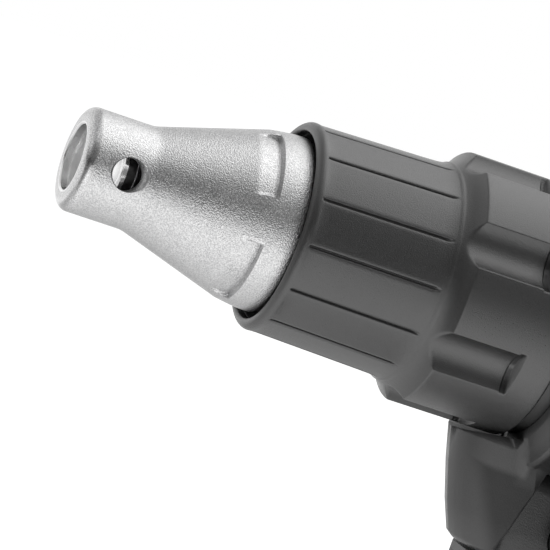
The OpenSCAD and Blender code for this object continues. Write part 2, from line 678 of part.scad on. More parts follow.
// Soft cover of the collar: grooved front, flare, and barrel with finger scoops
collar_edge = 2;
module collar_grip() color([0.13, 0.13, 0.13]) placed() difference() {
    turned(concat([[collar_mouth_r, skirt_x1], [collar_mouth_r, collar_x0 + 0.6],
            [collar_mouth_r + 0.5, collar_x0]],
        [for (a = [0 : 15 : 90]) [grip_r - collar_edge + collar_edge * sin(a),
            collar_x0 + collar_edge - collar_edge * cos(a)]],
        [[grip_rear_r, flare_x0]],
        [for (i = [1 : 7]) let (t = i / 8) [grip_rear_r + (barrel_r - grip_rear_r) * pow(t, 3),
            flare_x0 + flare_l * t]],
        [[barrel_r, barrel_x0], [barrel_r + 0.15, collar_x1 - 1], [barrel_r - 0.7, collar_x1],
        [skirt_inner_r, collar_x1], [skirt_inner_r, skirt_step_x], [boss_r + slip + 0.2, skirt_step_x],
        [boss_r + slip + 0.2, skirt_x1]]));
    collar_core_space();
    round_axis(grooves, groove_start) box([collar_x0 + collar_edge + 0.4, -groove_w / 2, grip_r - groove_d],
        [flare_x0 + 2, groove_w / 2, grip_rear_r + 1]);
    round_axis(scoops, scoop_start) {
        translate([scoop_x0 - 1.6, 0, barrel_r - scoop_d + scoop_r]) rotate([0, 90, 0])
            cylinder(h = scoop_x1 - scoop_x0 + 1.6, r = scoop_r, $fn = 64);
        intersection() {
            translate([scoop_x1 - cut, 0, barrel_r - scoop_d + scoop_r]) rotate([0, 90, 0])
                cylinder(h = pocket_x1 - scoop_x1 + cut, r = scoop_r, $fn = 64);
            rod(scoop_x1 - cut, pocket_x1, barrel_r - 0.8);
        }
    }
}
// The collar stands turned a little from the middle of its scoops
collar_turn = 1.2;
groove_start = 90 + collar_turn;
scoop_start = 90 - 180 / scoops + collar_turn;
module collar_core_space() turned([[0, collar_x0 + 2.2], [core_r - 0.6 + seat, collar_x0 + 2.2 - seat],
    [core_r + seat, collar_x0 + 2.8], [core_r + seat, flare_x0 - 1], [core_barrel_r + seat, barrel_x0 + 1],
    [core_barrel_r + seat, skirt_step_x - 1.2 + seat], [0, skirt_step_x - 1.2 + seat]]);

// Bit holder with its hexagon shank, front ring and retaining ring
ring_x = holder_x + 3.4;
module bit_holder() color([0.1, 0.1, 0.1]) placed() difference() {
    union() {
        turned([[0, holder_x], [holder_r - 0.4, holder_x], [holder_r, holder_x + 0.4],
            [holder_r, ring_x - 0.4], [holder_r - 0.5, ring_x - 0.4], [holder_r - 0.5, ring_x + 0.4],
            [holder_r, ring_x + 0.4], [holder_r, holder_x1], [0, holder_x1]]);
        hexagon(holder_x1 - cut, shank_x1, bit_af - 0.15);
    }
    hexagon(holder_x - cut, holder_x + bit_depth, bit_af);
    rod(holder_x - cut, holder_x + 2, holder_r - 0.7, fn = 48);
}
module magnet_ring() color("silver") placed() difference() {
    rod(holder_x - 0.3, holder_x + 2, holder_r - 0.75, fn = 48);
    rod(holder_x - cut, holder_x + 3, bit_af / sqrt(3) + 0.1, fn = 48);
}
module holder_ring() color("silver") placed()
    tube(ring_x - 0.3, ring_x + 0.3, holder_r + 0.12, holder_r - 0.45);
module spindle() color("silver") placed() difference() {
    turned([[0, holder_x1], [spindle_r - 0.8, holder_x1], [spindle_r, holder_x1 + 0.8],
        [spindle_r, disc_x0], [journal_r, disc_x0], [journal_r, journal_x1], [tail_r, journal_x1],
        [tail_r, tail_x1 - 0.5], [tail_r - 0.5, tail_x1], [0, tail_x1]]);
    hexagon(holder_x1 - cut, shank_x1 + 1.5, bit_af);
}
// Sector ring that one clutch dog is cut from
module dog(x0, x1) intersection() {
    tube(x0, x1, disc_r - 0.2, dog_r0);
    box([x0 - cut, -2.8, 0], [x1 + cut, 2.8, disc_r + cut]);
}
module clutch_disc() color("gray") placed() {
    tube(disc_x0, dog_x0, disc_r, journal_r + 0.02);
    round_axis(dogs) dog(dog_x0 - 0.2, dog_x0 + dog_h);
}
module clutch_spring() color("silver") placed() translate([dog_x0 + 0.1, 0, 0]) rotate([0, 90, 0])
    spring(spring_r, spring_wire, gear_hub_x0 + spring_pocket - dog_x0 - 0.2, 4);
spring_pocket = 4;

// Involute tooth profile
function inv(a) = tan(a) - a * PI / 180;
function half_tooth(r, n, s) = let (base = tooth_m * n / 2 * cos(pressure))
    90 / n + 180 / PI * (2 * s * tan(pressure) / n + inv(pressure) - inv(acos(min(1, base / r))))
    - tooth_play / 4 / (tooth_m * n / 2) * 180 / PI;
function gear_points(n, s, root, tip, turn) = let (base = tooth_m * n / 2 * cos(pressure),
        low = max(root + 0.02, base + 0.005), steps = 5)
    [for (k = [0 : n - 1]) each let (mid = turn + k * 360 / n,
            flank = [for (i = [0 : steps]) let (r = low + (tip - low) * i / steps)
                [r, half_tooth(r, n, s)]])
        concat([[root * cos(mid - flank[0][1]), root * sin(mid - flank[0][1])]],
            [for (f = flank) [f[0] * cos(mid - f[1]), f[0] * sin(mid - f[1])]],
            [for (i = [steps : -1 : 0]) let (f = flank[i])
                [f[0] * cos(mid + f[1]), f[0] * sin(mid + f[1])]],
            [[root * cos(mid + flank[0][1]), root * sin(mid + flank[0][1])]])];
pinion_root_r = tooth_m * (pinion_z / 2 - 1.25 + shift);
gear_root_r = tooth_m * (gear_z / 2 - 1.25 - shift);
module drive_gear() color("slategray") placed() difference() {
    union() {
        translate([gear_x0, 0, 0]) rotate([0, 90, 0]) linear_extrude(gear_w)
            polygon(gear_points(gear_z, -shift, gear_root_r, gear_tip_r, gear_turn));
        rod(gear_hub_x0, gear_x0 + cut, disc_r);
        rod(gear_x1 - cut, plate_x0 - slip, bush_r + 1);
        round_axis(dogs, 180 / dogs) dog(gear_dog_x0, gear_hub_x0 + 0.5);
    }
    rod(gear_dog_x0 - cut, plate_x0 + cut, journal_r + run);
    rod(gear_dog_x0 - cut, gear_hub_x0 + spring_pocket, spring_r + 1.2);
}
// A gap of the gear faces the pinion
gear_turn = 180 / gear_z;
module pinion() color("silver") placed() difference() {
    translate([gear_x0 - 0.8, 0, motor_z]) rotate([0, 90, 0]) linear_extrude(gear_w + 1.6)
        polygon(gear_points(pinion_z, shift, pinion_root_r, pinion_tip_r, 180));
    rod(gear_x0 - 2, gear_x1 + 3, pinion_seat_r + 0.02, motor_z, fn = 48);
}

// Ball bearing that the spindle slides and turns in
inner_race_r = spindle_r + 1.6;
outer_race_r = bearing_r - 1.6;
ball_r = (outer_race_r - inner_race_r) / 2 - 0.05;
module bearing_outer() color("silver") placed()
    tube(bearing_x0, bearing_x0 + bearing_w, bearing_r, outer_race_r);
module bearing_inner() color("silver") placed()
    tube(bearing_x0, bearing_x0 + bearing_w, inner_race_r, spindle_r + run);
module bearing_balls() color("silver") placed() round_axis(10)
    translate([bearing_x0 + bearing_w / 2, 0, (inner_race_r + outer_race_r) / 2])
        sphere(r = ball_r, $fn = 24);
module bearing_circlip() color("dimgray") placed() rotate([110, 0, 0])
    translate([bearing_x0 - 1.3, 0, 0]) rotate([0, 90, 0]) rotate_extrude(angle = 320, $fn = 64)
        translate([bearing_r - 1.8, 0]) square([2.5, 1.1]);
module rear_bush() color("goldenrod") placed() tube(bush_x0, bush_x0 + bush_l, bush_r, tail_r + run);

// Gear case: snout, threaded boss, dark gap ring and gear chamber
module gear_case() color([0.15, 0.15, 0.15]) placed() {
    difference() {
        turned([[0, seat_x0], [snout_r - 0.8, seat_x0], [snout_r, seat_x0 + 0.8], [snout_r, boss_x0],
            [boss_r - 0.6, boss_x0], [boss_r, boss_x0 + 0.6], [boss_r, case_step_x],
            [case_r - 0.6, case_step_x], [case_r, case_step_x + 0.6], [case_r, flange_seat_x],
            [plate_r, flange_seat_x], [plate_r, plate_x0], [0, plate_x0]]);
        turned([[0, seat_x0 - cut], [bearing_r + 0.02, seat_x0 - cut],
            [bearing_r + 0.02, bearing_x0 - 1.35], [bearing_r + 0.75, bearing_x0 - 1.35],
            [bearing_r + 0.75, bearing_x0 - 0.15], [bearing_r + 0.02, bearing_x0 - 0.15],
            [bearing_r + 0.02, bearing_x0 + bearing_w], [snout_bore_r, bearing_x0 + bearing_w],
            [snout_bore_r, chamber_x0], [chamber_r, chamber_x0 + 5], [chamber_r, plate_x0 + cut],
            [0, plate_x0 + cut]]);
        rod(gear_x0 - 3, plate_x0 + cut, pinion_tip_r + 1.4, motor_z);
        round_axis(4, 45) rod(plate_x0 - 14, plate_x0 + cut, case_screw_r + 0.03, case_screw_pcr, fn = 32);
    }
    round_axis(3) box([key_x0, -key_w / 2, snout_r - 1], [key_x1, key_w / 2, snout_r + key_h]);
}
module gear_plate() color("darkgray") placed() difference() {
    union() {
        rod(plate_x0, plate_x1, plate_r);
        rod(plate_x1 - 1, bush_x0 + bush_l + 0.5, bush_r + 2.2);
    }
    rod(bush_x0, bush_x0 + bush_l + cut, bush_r + 0.02);
    rod(plate_x0 - cut, bush_x0 + 1, tail_r + 0.8);
    rod(plate_x0 - cut, plate_x1 + cut, ball_bearing_r + 0.02, motor_z);
    round_axis(4, 45) rod(plate_x0 - cut, plate_x1 + cut, case_screw_r + 0.1, case_screw_pcr, fn = 32);
}
module case_screws() color("silver") placed() round_axis(4, 45) {
    rod(plate_x0 - 13, plate_x1 + 0.5, case_screw_r, case_screw_pcr, fn = 32);
    difference() {
        rod(plate_x1, plate_x1 + 3, case_screw_r + 1.5, case_screw_pcr, fn = 32);
        translate([0, 0, case_screw_pcr]) hexagon(plate_x1 + 1.2, plate_x1 + 4, 3);
    }
}

// Motor under the spindle's axis
module motor_bearings() color("silver") placed() {
    tube(plate_x1 - ball_bearing_w, plate_x1, ball_bearing_r, shaft_r + run, motor_z);
    tube(bell_x0, bell_x0 + ball_bearing_w, ball_bearing_r, shaft_r + run, motor_z);
}
module motor_shaft() color("silver") placed() {
    rod(gear_x0 - 0.8, gear_x1 + 2, pinion_seat_r, motor_z, fn = 48);
    rod(gear_x1 + 1, bell_x0 + bell_w - 0.5, shaft_r, motor_z, fn = 48);
}
module rotor_core() color("slategray") placed() difference() {
    tube(stator_x0 + 1, stator_x1 - 1, rotor_r, shaft_r + 0.02, motor_z);
    for (i = [0 : 3]) translate([stator_x0, 0, motor_z]) rotate([90 * i, 0, 0])
        translate([-cut, -6, rotor_r - 3.6]) cube([stator_l + 2 * cut, 12, 1.8]);
}
module cooling_fan() color("gray") placed() {
    tube(fan_x0, fan_x0 + 1.6, fan_r, shaft_r + 0.02, motor_z);
    tube(fan_x0 + 1, fan_x0 + fan_w, shaft_r + 3, shaft_r + 0.02, motor_z);
    translate([0, 0, motor_z]) round_axis(fan_blades)
        box([fan_x0 + 1, -0.6, shaft_r + 6], [fan_x0 + fan_w, 0.6, fan_r - 0.4]);
}
module stator() color("darkslategray") placed() {
    tube(stator_x0, stator_x1, stator_r, stator_r - stator_yoke, motor_z);
    intersection() {
        translate([0, 0, motor_z]) round_axis(stator_teeth)
            box([stator_x0, -2.6, stator_bore_r - cut], [stator_x1, 2.6, stator_r - 1]);
        tube(stator_x0, stator_x1, stator_r - 1, stator_bore_r, motor_z);
    }
}
module stator_coils() color("orange") placed() translate([0, 0, motor_z])
    round_axis(stator_teeth) difference() {
    box([stator_x0 - 3, -4.8, stator_bore_r + 1.4], [stator_x1 + 3, 4.8, stator_r - stator_yoke - 0.9]);
    box([stator_x0 - 0.1, -2.7, 0], [stator_x1 + 0.1, 2.7, stator_r]);
}
module sensor_board() color("green") placed() {
    tube(board_x0, board_x0 + board_t, stator_r - 2, shaft_r + 4, motor_z);
    translate([0, 0, motor_z]) round_axis(3, 30)
        rod(board_x0 + board_t, stator_x0, 1.6, stator_r - stator_yoke / 2 - 1.8, fn = 24);
}
module motor_end_bell() color("darkgray") placed() difference() {
    rod(bell_x0, bell_x0 + bell_w, stator_r, motor_z);
    tube(bell_x0 - cut, bell_x0 + bell_w - 3, stator_r - 2.5, ball_bearing_r + 2.5, motor_z);
    rod(bell_x0 - cut, bell_x0 + ball_bearing_w, ball_bearing_r + 0.02, motor_z);
    rod(bell_x0, bell_x0 + bell_w + cut, shaft_r + 1, motor_z);
    translate([0, 0, motor_z]) round_axis(6)
        rod(bell_x0, bell_x0 + bell_w + cut, 3.4, (stator_r + ball_bearing_r) / 2, fn = 32);
}
module motor_leads() color("firebrick") placed() for (i = [-1 : 1]) {
    translate([board_x0 - 1.2, 3 * i, switch_top_z])
        cylinder(h = motor_z - stator_r + 5 - switch_top_z, r = 1, $fn = 16);
}

// Trigger with its stem
module trigger() color([0.2, 0.2, 0.2]) placed() {
    intersection() {
        translate([0, 30, 0]) rotate([90, 0, 0]) linear_extrude(60) difference() {
            polygon([[trigger_front_x, trigger_top_z], [trigger_back_x, trigger_top_z],
                [trigger_back_x, trigger_top_z - trigger_h],
                [trigger_front_x + 5, trigger_top_z - trigger_h],
                [trigger_front_x + 2.4, trigger_top_z - trigger_h + 4]]);
            translate([trigger_front_x - 38.5, trigger_mid_z - 1]) circle(r = 42, $fn = 180);
        }
        translate([0, 0, trigger_top_z - trigger_h - cut]) linear_extrude(trigger_h + 2 * cut) union() {
            translate([trigger_front_x + 5, -trigger_b]) square([40, 2 * trigger_b]);
            translate([trigger_front_x - 1, -trigger_b + 5]) square([10, 2 * trigger_b - 10]);
            for (s = [-1, 1]) translate([trigger_front_x + 5, s * (trigger_b - 5)]) circle(r = 5, $fn = 48);
        }
    }
    rod(trigger_back_x - cut, trigger_back_x + stem_reach, stem_r, trigger_mid_z + 2, fn = 48);
}
module trigger_spring() color("silver") placed() translate([trigger_back_x + 0.1, 0, trigger_mid_z + 2])
    rotate([0, 90, 0]) spring(stem_r + 1.1, 0.8, switch_x0 - trigger_back_x - 0.2, 3);
module switch_body() color([0.25, 0.25, 0.28]) placed() difference() {
    box([switch_x0, -switch_b, switch_top_z - switch_h], [switch_x0 + switch_l, switch_b, switch_top_z]);
    rod(switch_x0 - cut, trigger_back_x + stem_reach + trigger_travel + 0.5, stem_r + slip,
        trigger_mid_z + 2);
    cross_rod(lock_x, lock_z, -switch_b - cut, -switch_b + lock_travel + 1, 2.5 + slip);
}
lock_out_y = -handle_b - 3;
module lock_button() color([0.2, 0.2, 0.2]) placed() {
    cross_rod(lock_x, lock_z, lock_out_y + 0.6, -switch_b - lock_travel - 0.4, lock_r);
    cross_rod(lock_x, lock_z, lock_out_y, lock_out_y + 1, lock_r - 0.6);
    cross_rod(lock_x, lock_z, -switch_b - lock_travel - 1, -switch_b + 0.6, 2.5);
}
direction_half = handle_b + 4;
module direction_button() color([0.2, 0.2, 0.2]) placed() {
    cross_rod(direction_x, direction_z, -direction_half + 0.7, direction_half - 0.7, direction_r);
    cross_rod(direction_x, direction_z, -direction_half, direction_half, direction_r - 0.7);
}

// Electronics in the foot
module control_module() color([0.3, 0.3, 0.34]) placed()
    box([rail_x0 + 6, -20, -foot_drop + 3], [rail_x0 + 66, 20, -foot_drop + 15]);
module terminal_block() color([0.15, 0.15, 0.17]) placed() {
    box([terminal_x0, -terminal_b, rail_z0 + 1], [terminal_x0 + terminal_l, terminal_b, -foot_drop + 1]);
    for (y = [-10, 0, 10])
        box([terminal_x0 + 2, y - 0.4, rail_z0 + 0.3], [terminal_x0 + 16, y + 0.4, rail_z0 + 1]);
}
module hook_inserts() color("goldenrod") placed() hook_places() difference() {
    cylinder(h = hook_l, r = insert_r, $fn = 48);
    translate([0, 0, 1]) cylinder(h = hook_l, r = hook_r, $fn = 48);
}

// Battery pack that slides forward off the rail
module pack_plan(inset) {
    translate([foot_x0 + pack_r, -pack_b + inset]) square([foot_l - 2 * pack_r, 2 * pack_b - 2 * inset]);
    translate([foot_x0 + inset, -pack_b + pack_r]) square([foot_l - 2 * inset, 2 * pack_b - 2 * pack_r]);
    for (x = [foot_x0 + pack_r, foot_x1 - pack_r]) for (s = [-1, 1])
        translate([x, s * (pack_b - pack_r)]) circle(r = pack_r - inset, $fn = 48);
}
module pack_block(z0, z1, inset) translate([0, 0, z0]) linear_extrude(z1 - z0) pack_plan(inset);
module pack_upper() color([0.16, 0.16, 0.16]) placed() difference() {
    union() {
        pack_block(split_z, pack_top_z - 1.5, 0);
        pack_block(pack_top_z - 1.6, pack_top_z, 1.2);
    }
    box([rail_x0 - slip, -rail_web_b - slip, pack_floor_z],
        [foot_x1 + cut, rail_web_b + slip, pack_top_z + cut]);
    box([rail_x0 - slip, -rail_b - slip, pack_floor_z],
        [foot_x1 + cut, rail_b + slip, rail_z0 + rail_flange_t + slip]);
    latch_pocket();
    for (p = pack_screw_places) {
        translate([p[0], p[1], split_z - cut]) cylinder(h = 20, r = screw_r + seat, $fn = 32);
        translate([p[0], p[1], pack_screw_z]) cylinder(h = 20, r = screw_head_r + seat, $fn = 32);
    }
}
// Room for the latch, and the window in the pack's front that a finger reaches it through
latch_low_z = split_z - 7.7;
module latch_pocket() {
    box([latch_x0 - 0.4, -latch_b - 0.4, latch_low_z],
        [latch_x0 + latch_l + 0.4, latch_b + 0.4, pack_top_z + cut]);
    box([foot_x0 - cut, -latch_b + 0.8, latch_low_z + 0.7],
        [latch_x0 + cut, latch_b - 0.8, pack_top_z - 2.5]);
}
pack_screw_places = [for (x = [foot_x0 + 6, foot_x1 - 6.5]) for (s = [-1, 1])
    [x, s * (pack_b - pack_wall - 2.2)]];
pack_screw_z = pack_top_z - 4.2;
module pack_lower() color([0.13, 0.13, 0.13]) placed() difference() {
    union() {
        pack_block(pack_base_z, pack_base_z + 1.6, 1.4);
        pack_block(pack_base_z + 1.5, split_z - 0.2, 0);
        pack_block(split_z - 0.3, split_z, 0.8);
    }
    difference() {
        pack_block(pack_base_z + pack_wall, split_z + cut, pack_wall);
        box([foot_x0, -pack_b, pack_base_z], [latch_x0 + latch_l + 2.2, pack_b, split_z + cut]);
        for (p = pack_screw_places) translate([p[0], p[1], cell_z + cell_r + slip])
            cylinder(h = 40, r = screw_boss_r, $fn = 32);
    }
    for (i = [0 : cell_n - 1])
        cross_rod(cell_x0 + i * cell_pitch, cell_z, -cell_l / 2 - 0.35, cell_l / 2 + 0.35, cell_r + 0.2);
    latch_pocket();
    for (p = pack_screw_places) translate([p[0], p[1], cell_z + cell_r + slip])
        cylinder(h = 40, r = screw_r + seat, $fn = 32);
    // Grip grooves along both sides
    for (s = [-1, 1]) for (i = [0 : pack_grooves - 1])
        cross_rod_x(foot_x0 + 22, foot_x1 - 22, s * (pack_b + 0.6), pack_base_z + 6 + 4.4 * i, 1.5);
}
pack_grooves = 4;
// A groove cutter along X with round ends
module cross_rod_x(x0, x1, y, z, r) {
    rod(x0, x1, r, z, y, fn = 32);
    for (x = [x0, x1]) translate([x, y, z]) sphere(r = r, $fn = 32);
}
module cells() color("steelblue") placed() for (i = [0 : cell_n - 1])
    cross_rod(cell_x0 + i * cell_pitch, cell_z, -cell_l / 2, cell_l / 2, cell_r);
module cell_straps() color("silver") placed() for (s = [-1, 1])
    box([cell_x0 - 4, s > 0 ? cell_l / 2 : -cell_l / 2 - 0.3, cell_z - 3],
        [cell_x0 + cell_pitch * (cell_n - 1) + 4, s > 0 ? cell_l / 2 + 0.3 : -cell_l / 2, cell_z + 3]);
latch_z0 = latch_low_z + latch_travel + 0.6;
latch_well = 6;
latch_well_r = 3.1;
module pack_latch() color([0.35, 0.35, 0.35]) placed() difference() {
    union() {
        box([latch_x0, -latch_b, latch_z0], [latch_x0 + latch_l, latch_b, -foot_drop + 2.8]);
        box([foot_x0 + 0.8, -latch_b + 1.2, latch_z0 + 0.4],
            [latch_x0 + cut, latch_b - 1.2, pack_top_z - 3.6]);
    }
    cross_rod(foot_x0 - 10.2, split_z + 2, -latch_b, latch_b, 12, fn = 96);
    translate([latch_x0 - 2, -latch_b - cut, -foot_drop + 3]) rotate([0, 45, 0])
        cube([3, 2 * latch_b + 2 * cut, 3]);
    translate([latch_x0 + latch_l / 2 + 0.6, 0, latch_z0 - cut])
        cylinder(h = latch_well + cut, r = latch_well_r, $fn = 48);
}
module latch_spring() color("silver") placed()
    translate([latch_x0 + latch_l / 2 + 0.6, 0, latch_low_z + 0.1])
        spring(2.4, 0.8, latch_z0 + latch_well - latch_low_z - 0.2, 4);
module pack_screws() color("silver") placed() for (p = pack_screw_places) translate([p[0], p[1], 0]) {
    translate([0, 0, cell_z + cell_r + slip + 0.4])
        cylinder(h = pack_screw_z - cell_z - cell_r - slip - 0.3, r = screw_r, $fn = 32);
    translate([0, 0, pack_screw_z]) cylinder(h = 2, r = screw_head_r, $fn = 32);
}

nosepiece();
depth_sleeve();
snap_ring();
collar_core();
collar_grip();
bit_holder();
magnet_ring();
holder_ring();
spindle();
clutch_disc();
clutch_spring();
drive_gear();
bearing_outer();
bearing_inner();
bearing_balls();
bearing_circlip();
rear_bush();
gear_case();
gear_plate();
case_screws();
motor_bearings();
motor_shaft();
pinion();
rotor_core();
cooling_fan();
stator();
stator_coils();
sensor_board();
motor_end_bell();
left_shell();
right_shell();
left_grip();
right_grip();
rear_bumper();
shell_screws();
trigger();
trigger_spring();
switch_body();
lock_button();
direction_button();
control_module();
terminal_block();
motor_leads();
pack_upper();
pack_lower();
cells();
cell_straps();
pack_latch();
latch_spring();
pack_screws();
hook_inserts();
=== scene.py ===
import json
import math

import bmesh
import bpy
import numpy as np
from mathutils import Matrix, Vector
from mathutils.bvhtree import BVHTree


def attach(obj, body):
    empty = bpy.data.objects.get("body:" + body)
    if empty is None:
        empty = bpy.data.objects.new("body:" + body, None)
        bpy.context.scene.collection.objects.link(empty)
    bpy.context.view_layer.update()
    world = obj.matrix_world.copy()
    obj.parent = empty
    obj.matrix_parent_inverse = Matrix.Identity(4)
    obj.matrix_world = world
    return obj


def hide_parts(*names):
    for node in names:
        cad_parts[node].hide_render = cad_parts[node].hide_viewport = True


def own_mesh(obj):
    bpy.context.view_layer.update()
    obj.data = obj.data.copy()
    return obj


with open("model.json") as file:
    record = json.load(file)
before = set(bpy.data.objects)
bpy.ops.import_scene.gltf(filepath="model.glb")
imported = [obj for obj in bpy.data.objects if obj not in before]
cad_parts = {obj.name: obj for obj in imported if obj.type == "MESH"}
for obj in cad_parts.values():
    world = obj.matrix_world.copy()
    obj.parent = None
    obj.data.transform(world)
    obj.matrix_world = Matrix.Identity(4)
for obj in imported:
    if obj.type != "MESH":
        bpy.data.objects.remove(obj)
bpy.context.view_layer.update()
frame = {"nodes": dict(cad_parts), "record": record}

nodes = frame["nodes"]
scene = bpy.context.scene
scene.view_settings.view_transform = "Standard"

# Camera
# It stands in front of the tool and to its left, a little above the spindle, and is rolled so that the
# nosepiece rises to the upper left of the picture. A long lens keeps the cone's taper as it is.
viewer_place = (-0.43019, -0.99528, 0.29011)
viewer_right = (0.90795, -0.25041, 0.33605)
viewer_up = (-0.30203, 0.16491, 0.93893)
viewer_back = (-0.29054, -0.95399, 0.07410)
lens = bpy.data.cameras.new("camera")
lens.sensor_width = 36.0
lens.lens = 294.5
viewer = bpy.data.objects.new("camera", lens)
viewer.matrix_world = Matrix([*zip(viewer_right, viewer_up, viewer_back, viewer_place), (0, 0, 0, 1)])
scene.collection.objects.link(viewer)
scene.camera = viewer

# Nosepiece
# A blasted zinc casting that pulls off the collar: a bored tip with a turned lip and a sight hole in
# either side, a cone, and four flats cut into the cone's rear edge, for the fingers.
TOOL_X, TOOL_Z = 182.0, 224.0


def in_row(x, y, z):
    """A place in the row's frame, in metres, from the distance behind the mouth, the distance to the
    right of the spindle's axis and the height above it, in millimetres."""
    return (x - TOOL_X) / 1000, y / 1000, (z + TOOL_Z) / 1000


def round_axis(x, r, angle):
    """The same from the radius and the angle up from the left side, in degrees."""
    a = np.radians(angle)
    return np.stack(in_row(x, -r * np.cos(a), r * np.sin(a)), -1)


def add_piece(name, points, faces):
    mesh = bpy.data.meshes.new(name)
    mesh.from_pydata([tuple(p) for p in points], [], faces)
    piece = bpy.data.objects.new(name, mesh)
    scene.collection.objects.link(piece)
    return piece


def merge_points(mesh, reach, turn_outwards):
    """Merges the points that are closer than the reach, in metres, and can turn the faces outwards."""
    shape = bmesh.new()
    shape.from_mesh(mesh)
    bmesh.ops.remove_doubles(shape, verts=shape.verts, dist=reach)
    if turn_outwards:
        bmesh.ops.recalc_face_normals(shape, faces=shape.faces)
    shape.to_mesh(mesh)
    shape.free()


def solid_piece(name, points, faces):
    """A closed piece, with its doubles merged and its faces turned outwards."""
    piece = add_piece(name, points, faces)
    merge_points(piece.data, 1e-7, turn_outwards=True)
    return piece


def bands(rows, n, ring=False):
    """Faces between neighbouring rows of n points, and in a ring also from the last row to the first."""
    return [(i * n + k, i * n + (k + 1) % n, (i + 1) % rows * n + (k + 1) % n, (i + 1) % rows * n + k)
            for i in range(rows if ring else rows - 1) for k in range(n)]


def turned_piece(name, stations, radii, angles):
    """A closed ring of sections: radii has one row for each station and one column for each angle."""
    rows, columns = radii.shape
    points = round_axis(np.repeat(stations, columns), radii.ravel(), np.tile(angles, rows))
    return solid_piece(name, points, bands(rows, columns, ring=True))


def smooth(piece, crease=None):
    """Shades the piece smoothly, but for edges that are sharper than the crease, in degrees."""
    for face in piece.data.polygons:
        face.use_smooth = True
    if crease:
        piece.data.set_sharp_from_angle(angle=math.radians(crease))


def ease(value, low, high):
    """0 below low, 1 above high, and smooth between them."""
    t = np.clip((value - low) / (high - low), 0, 1)
    return t * t * (3 - 2 * t)


def folded(angle, step):
    """How far the angle is from the nearest multiple of the step, in degrees."""
    return np.abs((angle + step / 2) % step - step / 2)


def filled_in(profile, step):
    """The profile with points added, so that no stretch is longer than the step."""
    out = []
    for (x0, r0), (x1, r1) in zip(profile, profile[1:]):
        n = max(1, math.ceil(math.hypot(x1 - x0, r1 - r0) / step))
        out += [(x0 + (x1 - x0) * i / n, r0 + (r1 - r0) * i / n) for i in range(n)]
    return out + [profile[-1]]


def arc(x, r, radius, start, end, n):
    """Points round a corner: angle 0 is the way outwards and 90 the way to the rear."""
    turns = [math.radians(start + (end - start) * i / n) for i in range(n + 1)]
    return [(x + radius * math.sin(turn), r + radius * math.cos(turn)) for turn in turns]


TIP_R, CONE_R, SEAT_R, BORE_R = 12.5, 20.4, 21.2, 7.9
LIP_ROUND, BORE_EDGE = 2.4, 0.3
CONE_END, SEAT_START, NOSE_END = 42.6, 50.4, 65.7
SPIGOT_R, SPIGOT_BORE_R = 20.5, 18.2
FLAT_START, FLAT_END, FLAT_WALL = 38.6, 43.6, 0.45
FLAT_SLOPE, FLAT_ANGLE, FLAT_STEP = 0.3, 49.7, 90
FLAT_HALF, FLAT_SIDE = 28.2, 1.1
nose_outer = [(BORE_EDGE, BORE_R), (0.0, BORE_R + BORE_EDGE), (0.0, 9.4)]
nose_outer += arc(LIP_ROUND, TIP_R - LIP_ROUND, LIP_ROUND, -90, 0, 8)
tip_to_cone = ((15.2, 0), (15.9, 0.03), (16.6, 0.14), (17.3, 0.32), (18.1, 0.56))
nose_outer += [(x, TIP_R + rise) for x, rise in tip_to_cone]
# The seat swells out of the cone, with stations closer together where the flats' rear walls stand.
seat_length = SEAT_START - CONE_END
seat_x = [CONE_END + seat_length * i / 8 for i in range(9)]
seat_x += [43.35, *(FLAT_END + 0.14 * i for i in range(7)), 44.6]
nose_outer += [(x, CONE_R + (SEAT_R - CONE_R) * math.sin(math.pi / 2 * (x - CONE_END) / seat_length))
               for x in sorted(seat_x)]
nose_outer += [(51.1, SEAT_R), (51.5, SEAT_R - 0.25), (51.6, SPIGOT_R), (NOSE_END, SPIGOT_R)]
nose_inner = [(NOSE_END, SPIGOT_BORE_R), (50.9, SPIGOT_BORE_R), (44.6, 18.0), (20.1, 10.4),
              (16.5, BORE_R), (0.5, BORE_R)]
nose_skin = filled_in(nose_outer, step=0.7)
nose_x, nose_r = np.array(nose_skin + filled_in(nose_inner, step=3)).T
nose_angles = np.arange(0, 360, 1.25)
x = nose_x[:, None]
from_flat = folded(nose_angles - FLAT_ANGLE, FLAT_STEP)
flat = 1 - ease(from_flat, FLAT_HALF, FLAT_HALF + FLAT_SIDE)
flat = flat * (1 - ease(x, FLAT_END, FLAT_END + FLAT_WALL))
flat_depth = FLAT_SLOPE * np.clip(x - FLAT_START, 0, None)
on_skin = np.arange(len(nose_x))[:, None] < len(nose_skin)
nose_radii = nose_r[:, None] - np.where(on_skin, flat * flat_depth, 0)
nosepiece = turned_piece("nose_casting", nose_x, nose_radii, nose_angles)


def apply_modifiers(piece, helper):
    """Makes the evaluated piece a plain mesh, and removes the object that helped to make it."""
    result = bpy.data.meshes.new_from_object(piece.evaluated_get(bpy.context.evaluated_depsgraph_get()))
    piece.modifiers.clear()
    piece.data = result
    bpy.data.objects.remove(helper)


def drill(piece, x, angle, profile):
    """Drills a hole along the radius. The profile holds pairs of the hole's radius and the distance
    from the axis."""
    n = 64
    a = math.radians(angle)
    points = []
    for hole_r, out in profile:
        for k in range(n):
            turn = 2 * math.pi * k / n
            across = hole_r * math.sin(turn)
            y = -out * math.cos(a) + across * math.sin(a)
            z = out * math.sin(a) + across * math.cos(a)
            points.append(in_row(x + hole_r * math.cos(turn), y, z))
    ends = [tuple(range(n)), tuple(range((len(profile) - 1) * n, len(profile) * n))]
    cutter = solid_piece("cutter", points, bands(len(profile), n) + ends)
    cut = piece.modifiers.new("cut", "BOOLEAN")
    cut.object, cut.operation, cut.solver = cutter, "DIFFERENCE", "EXACT"
    apply_modifiers(piece, cutter)


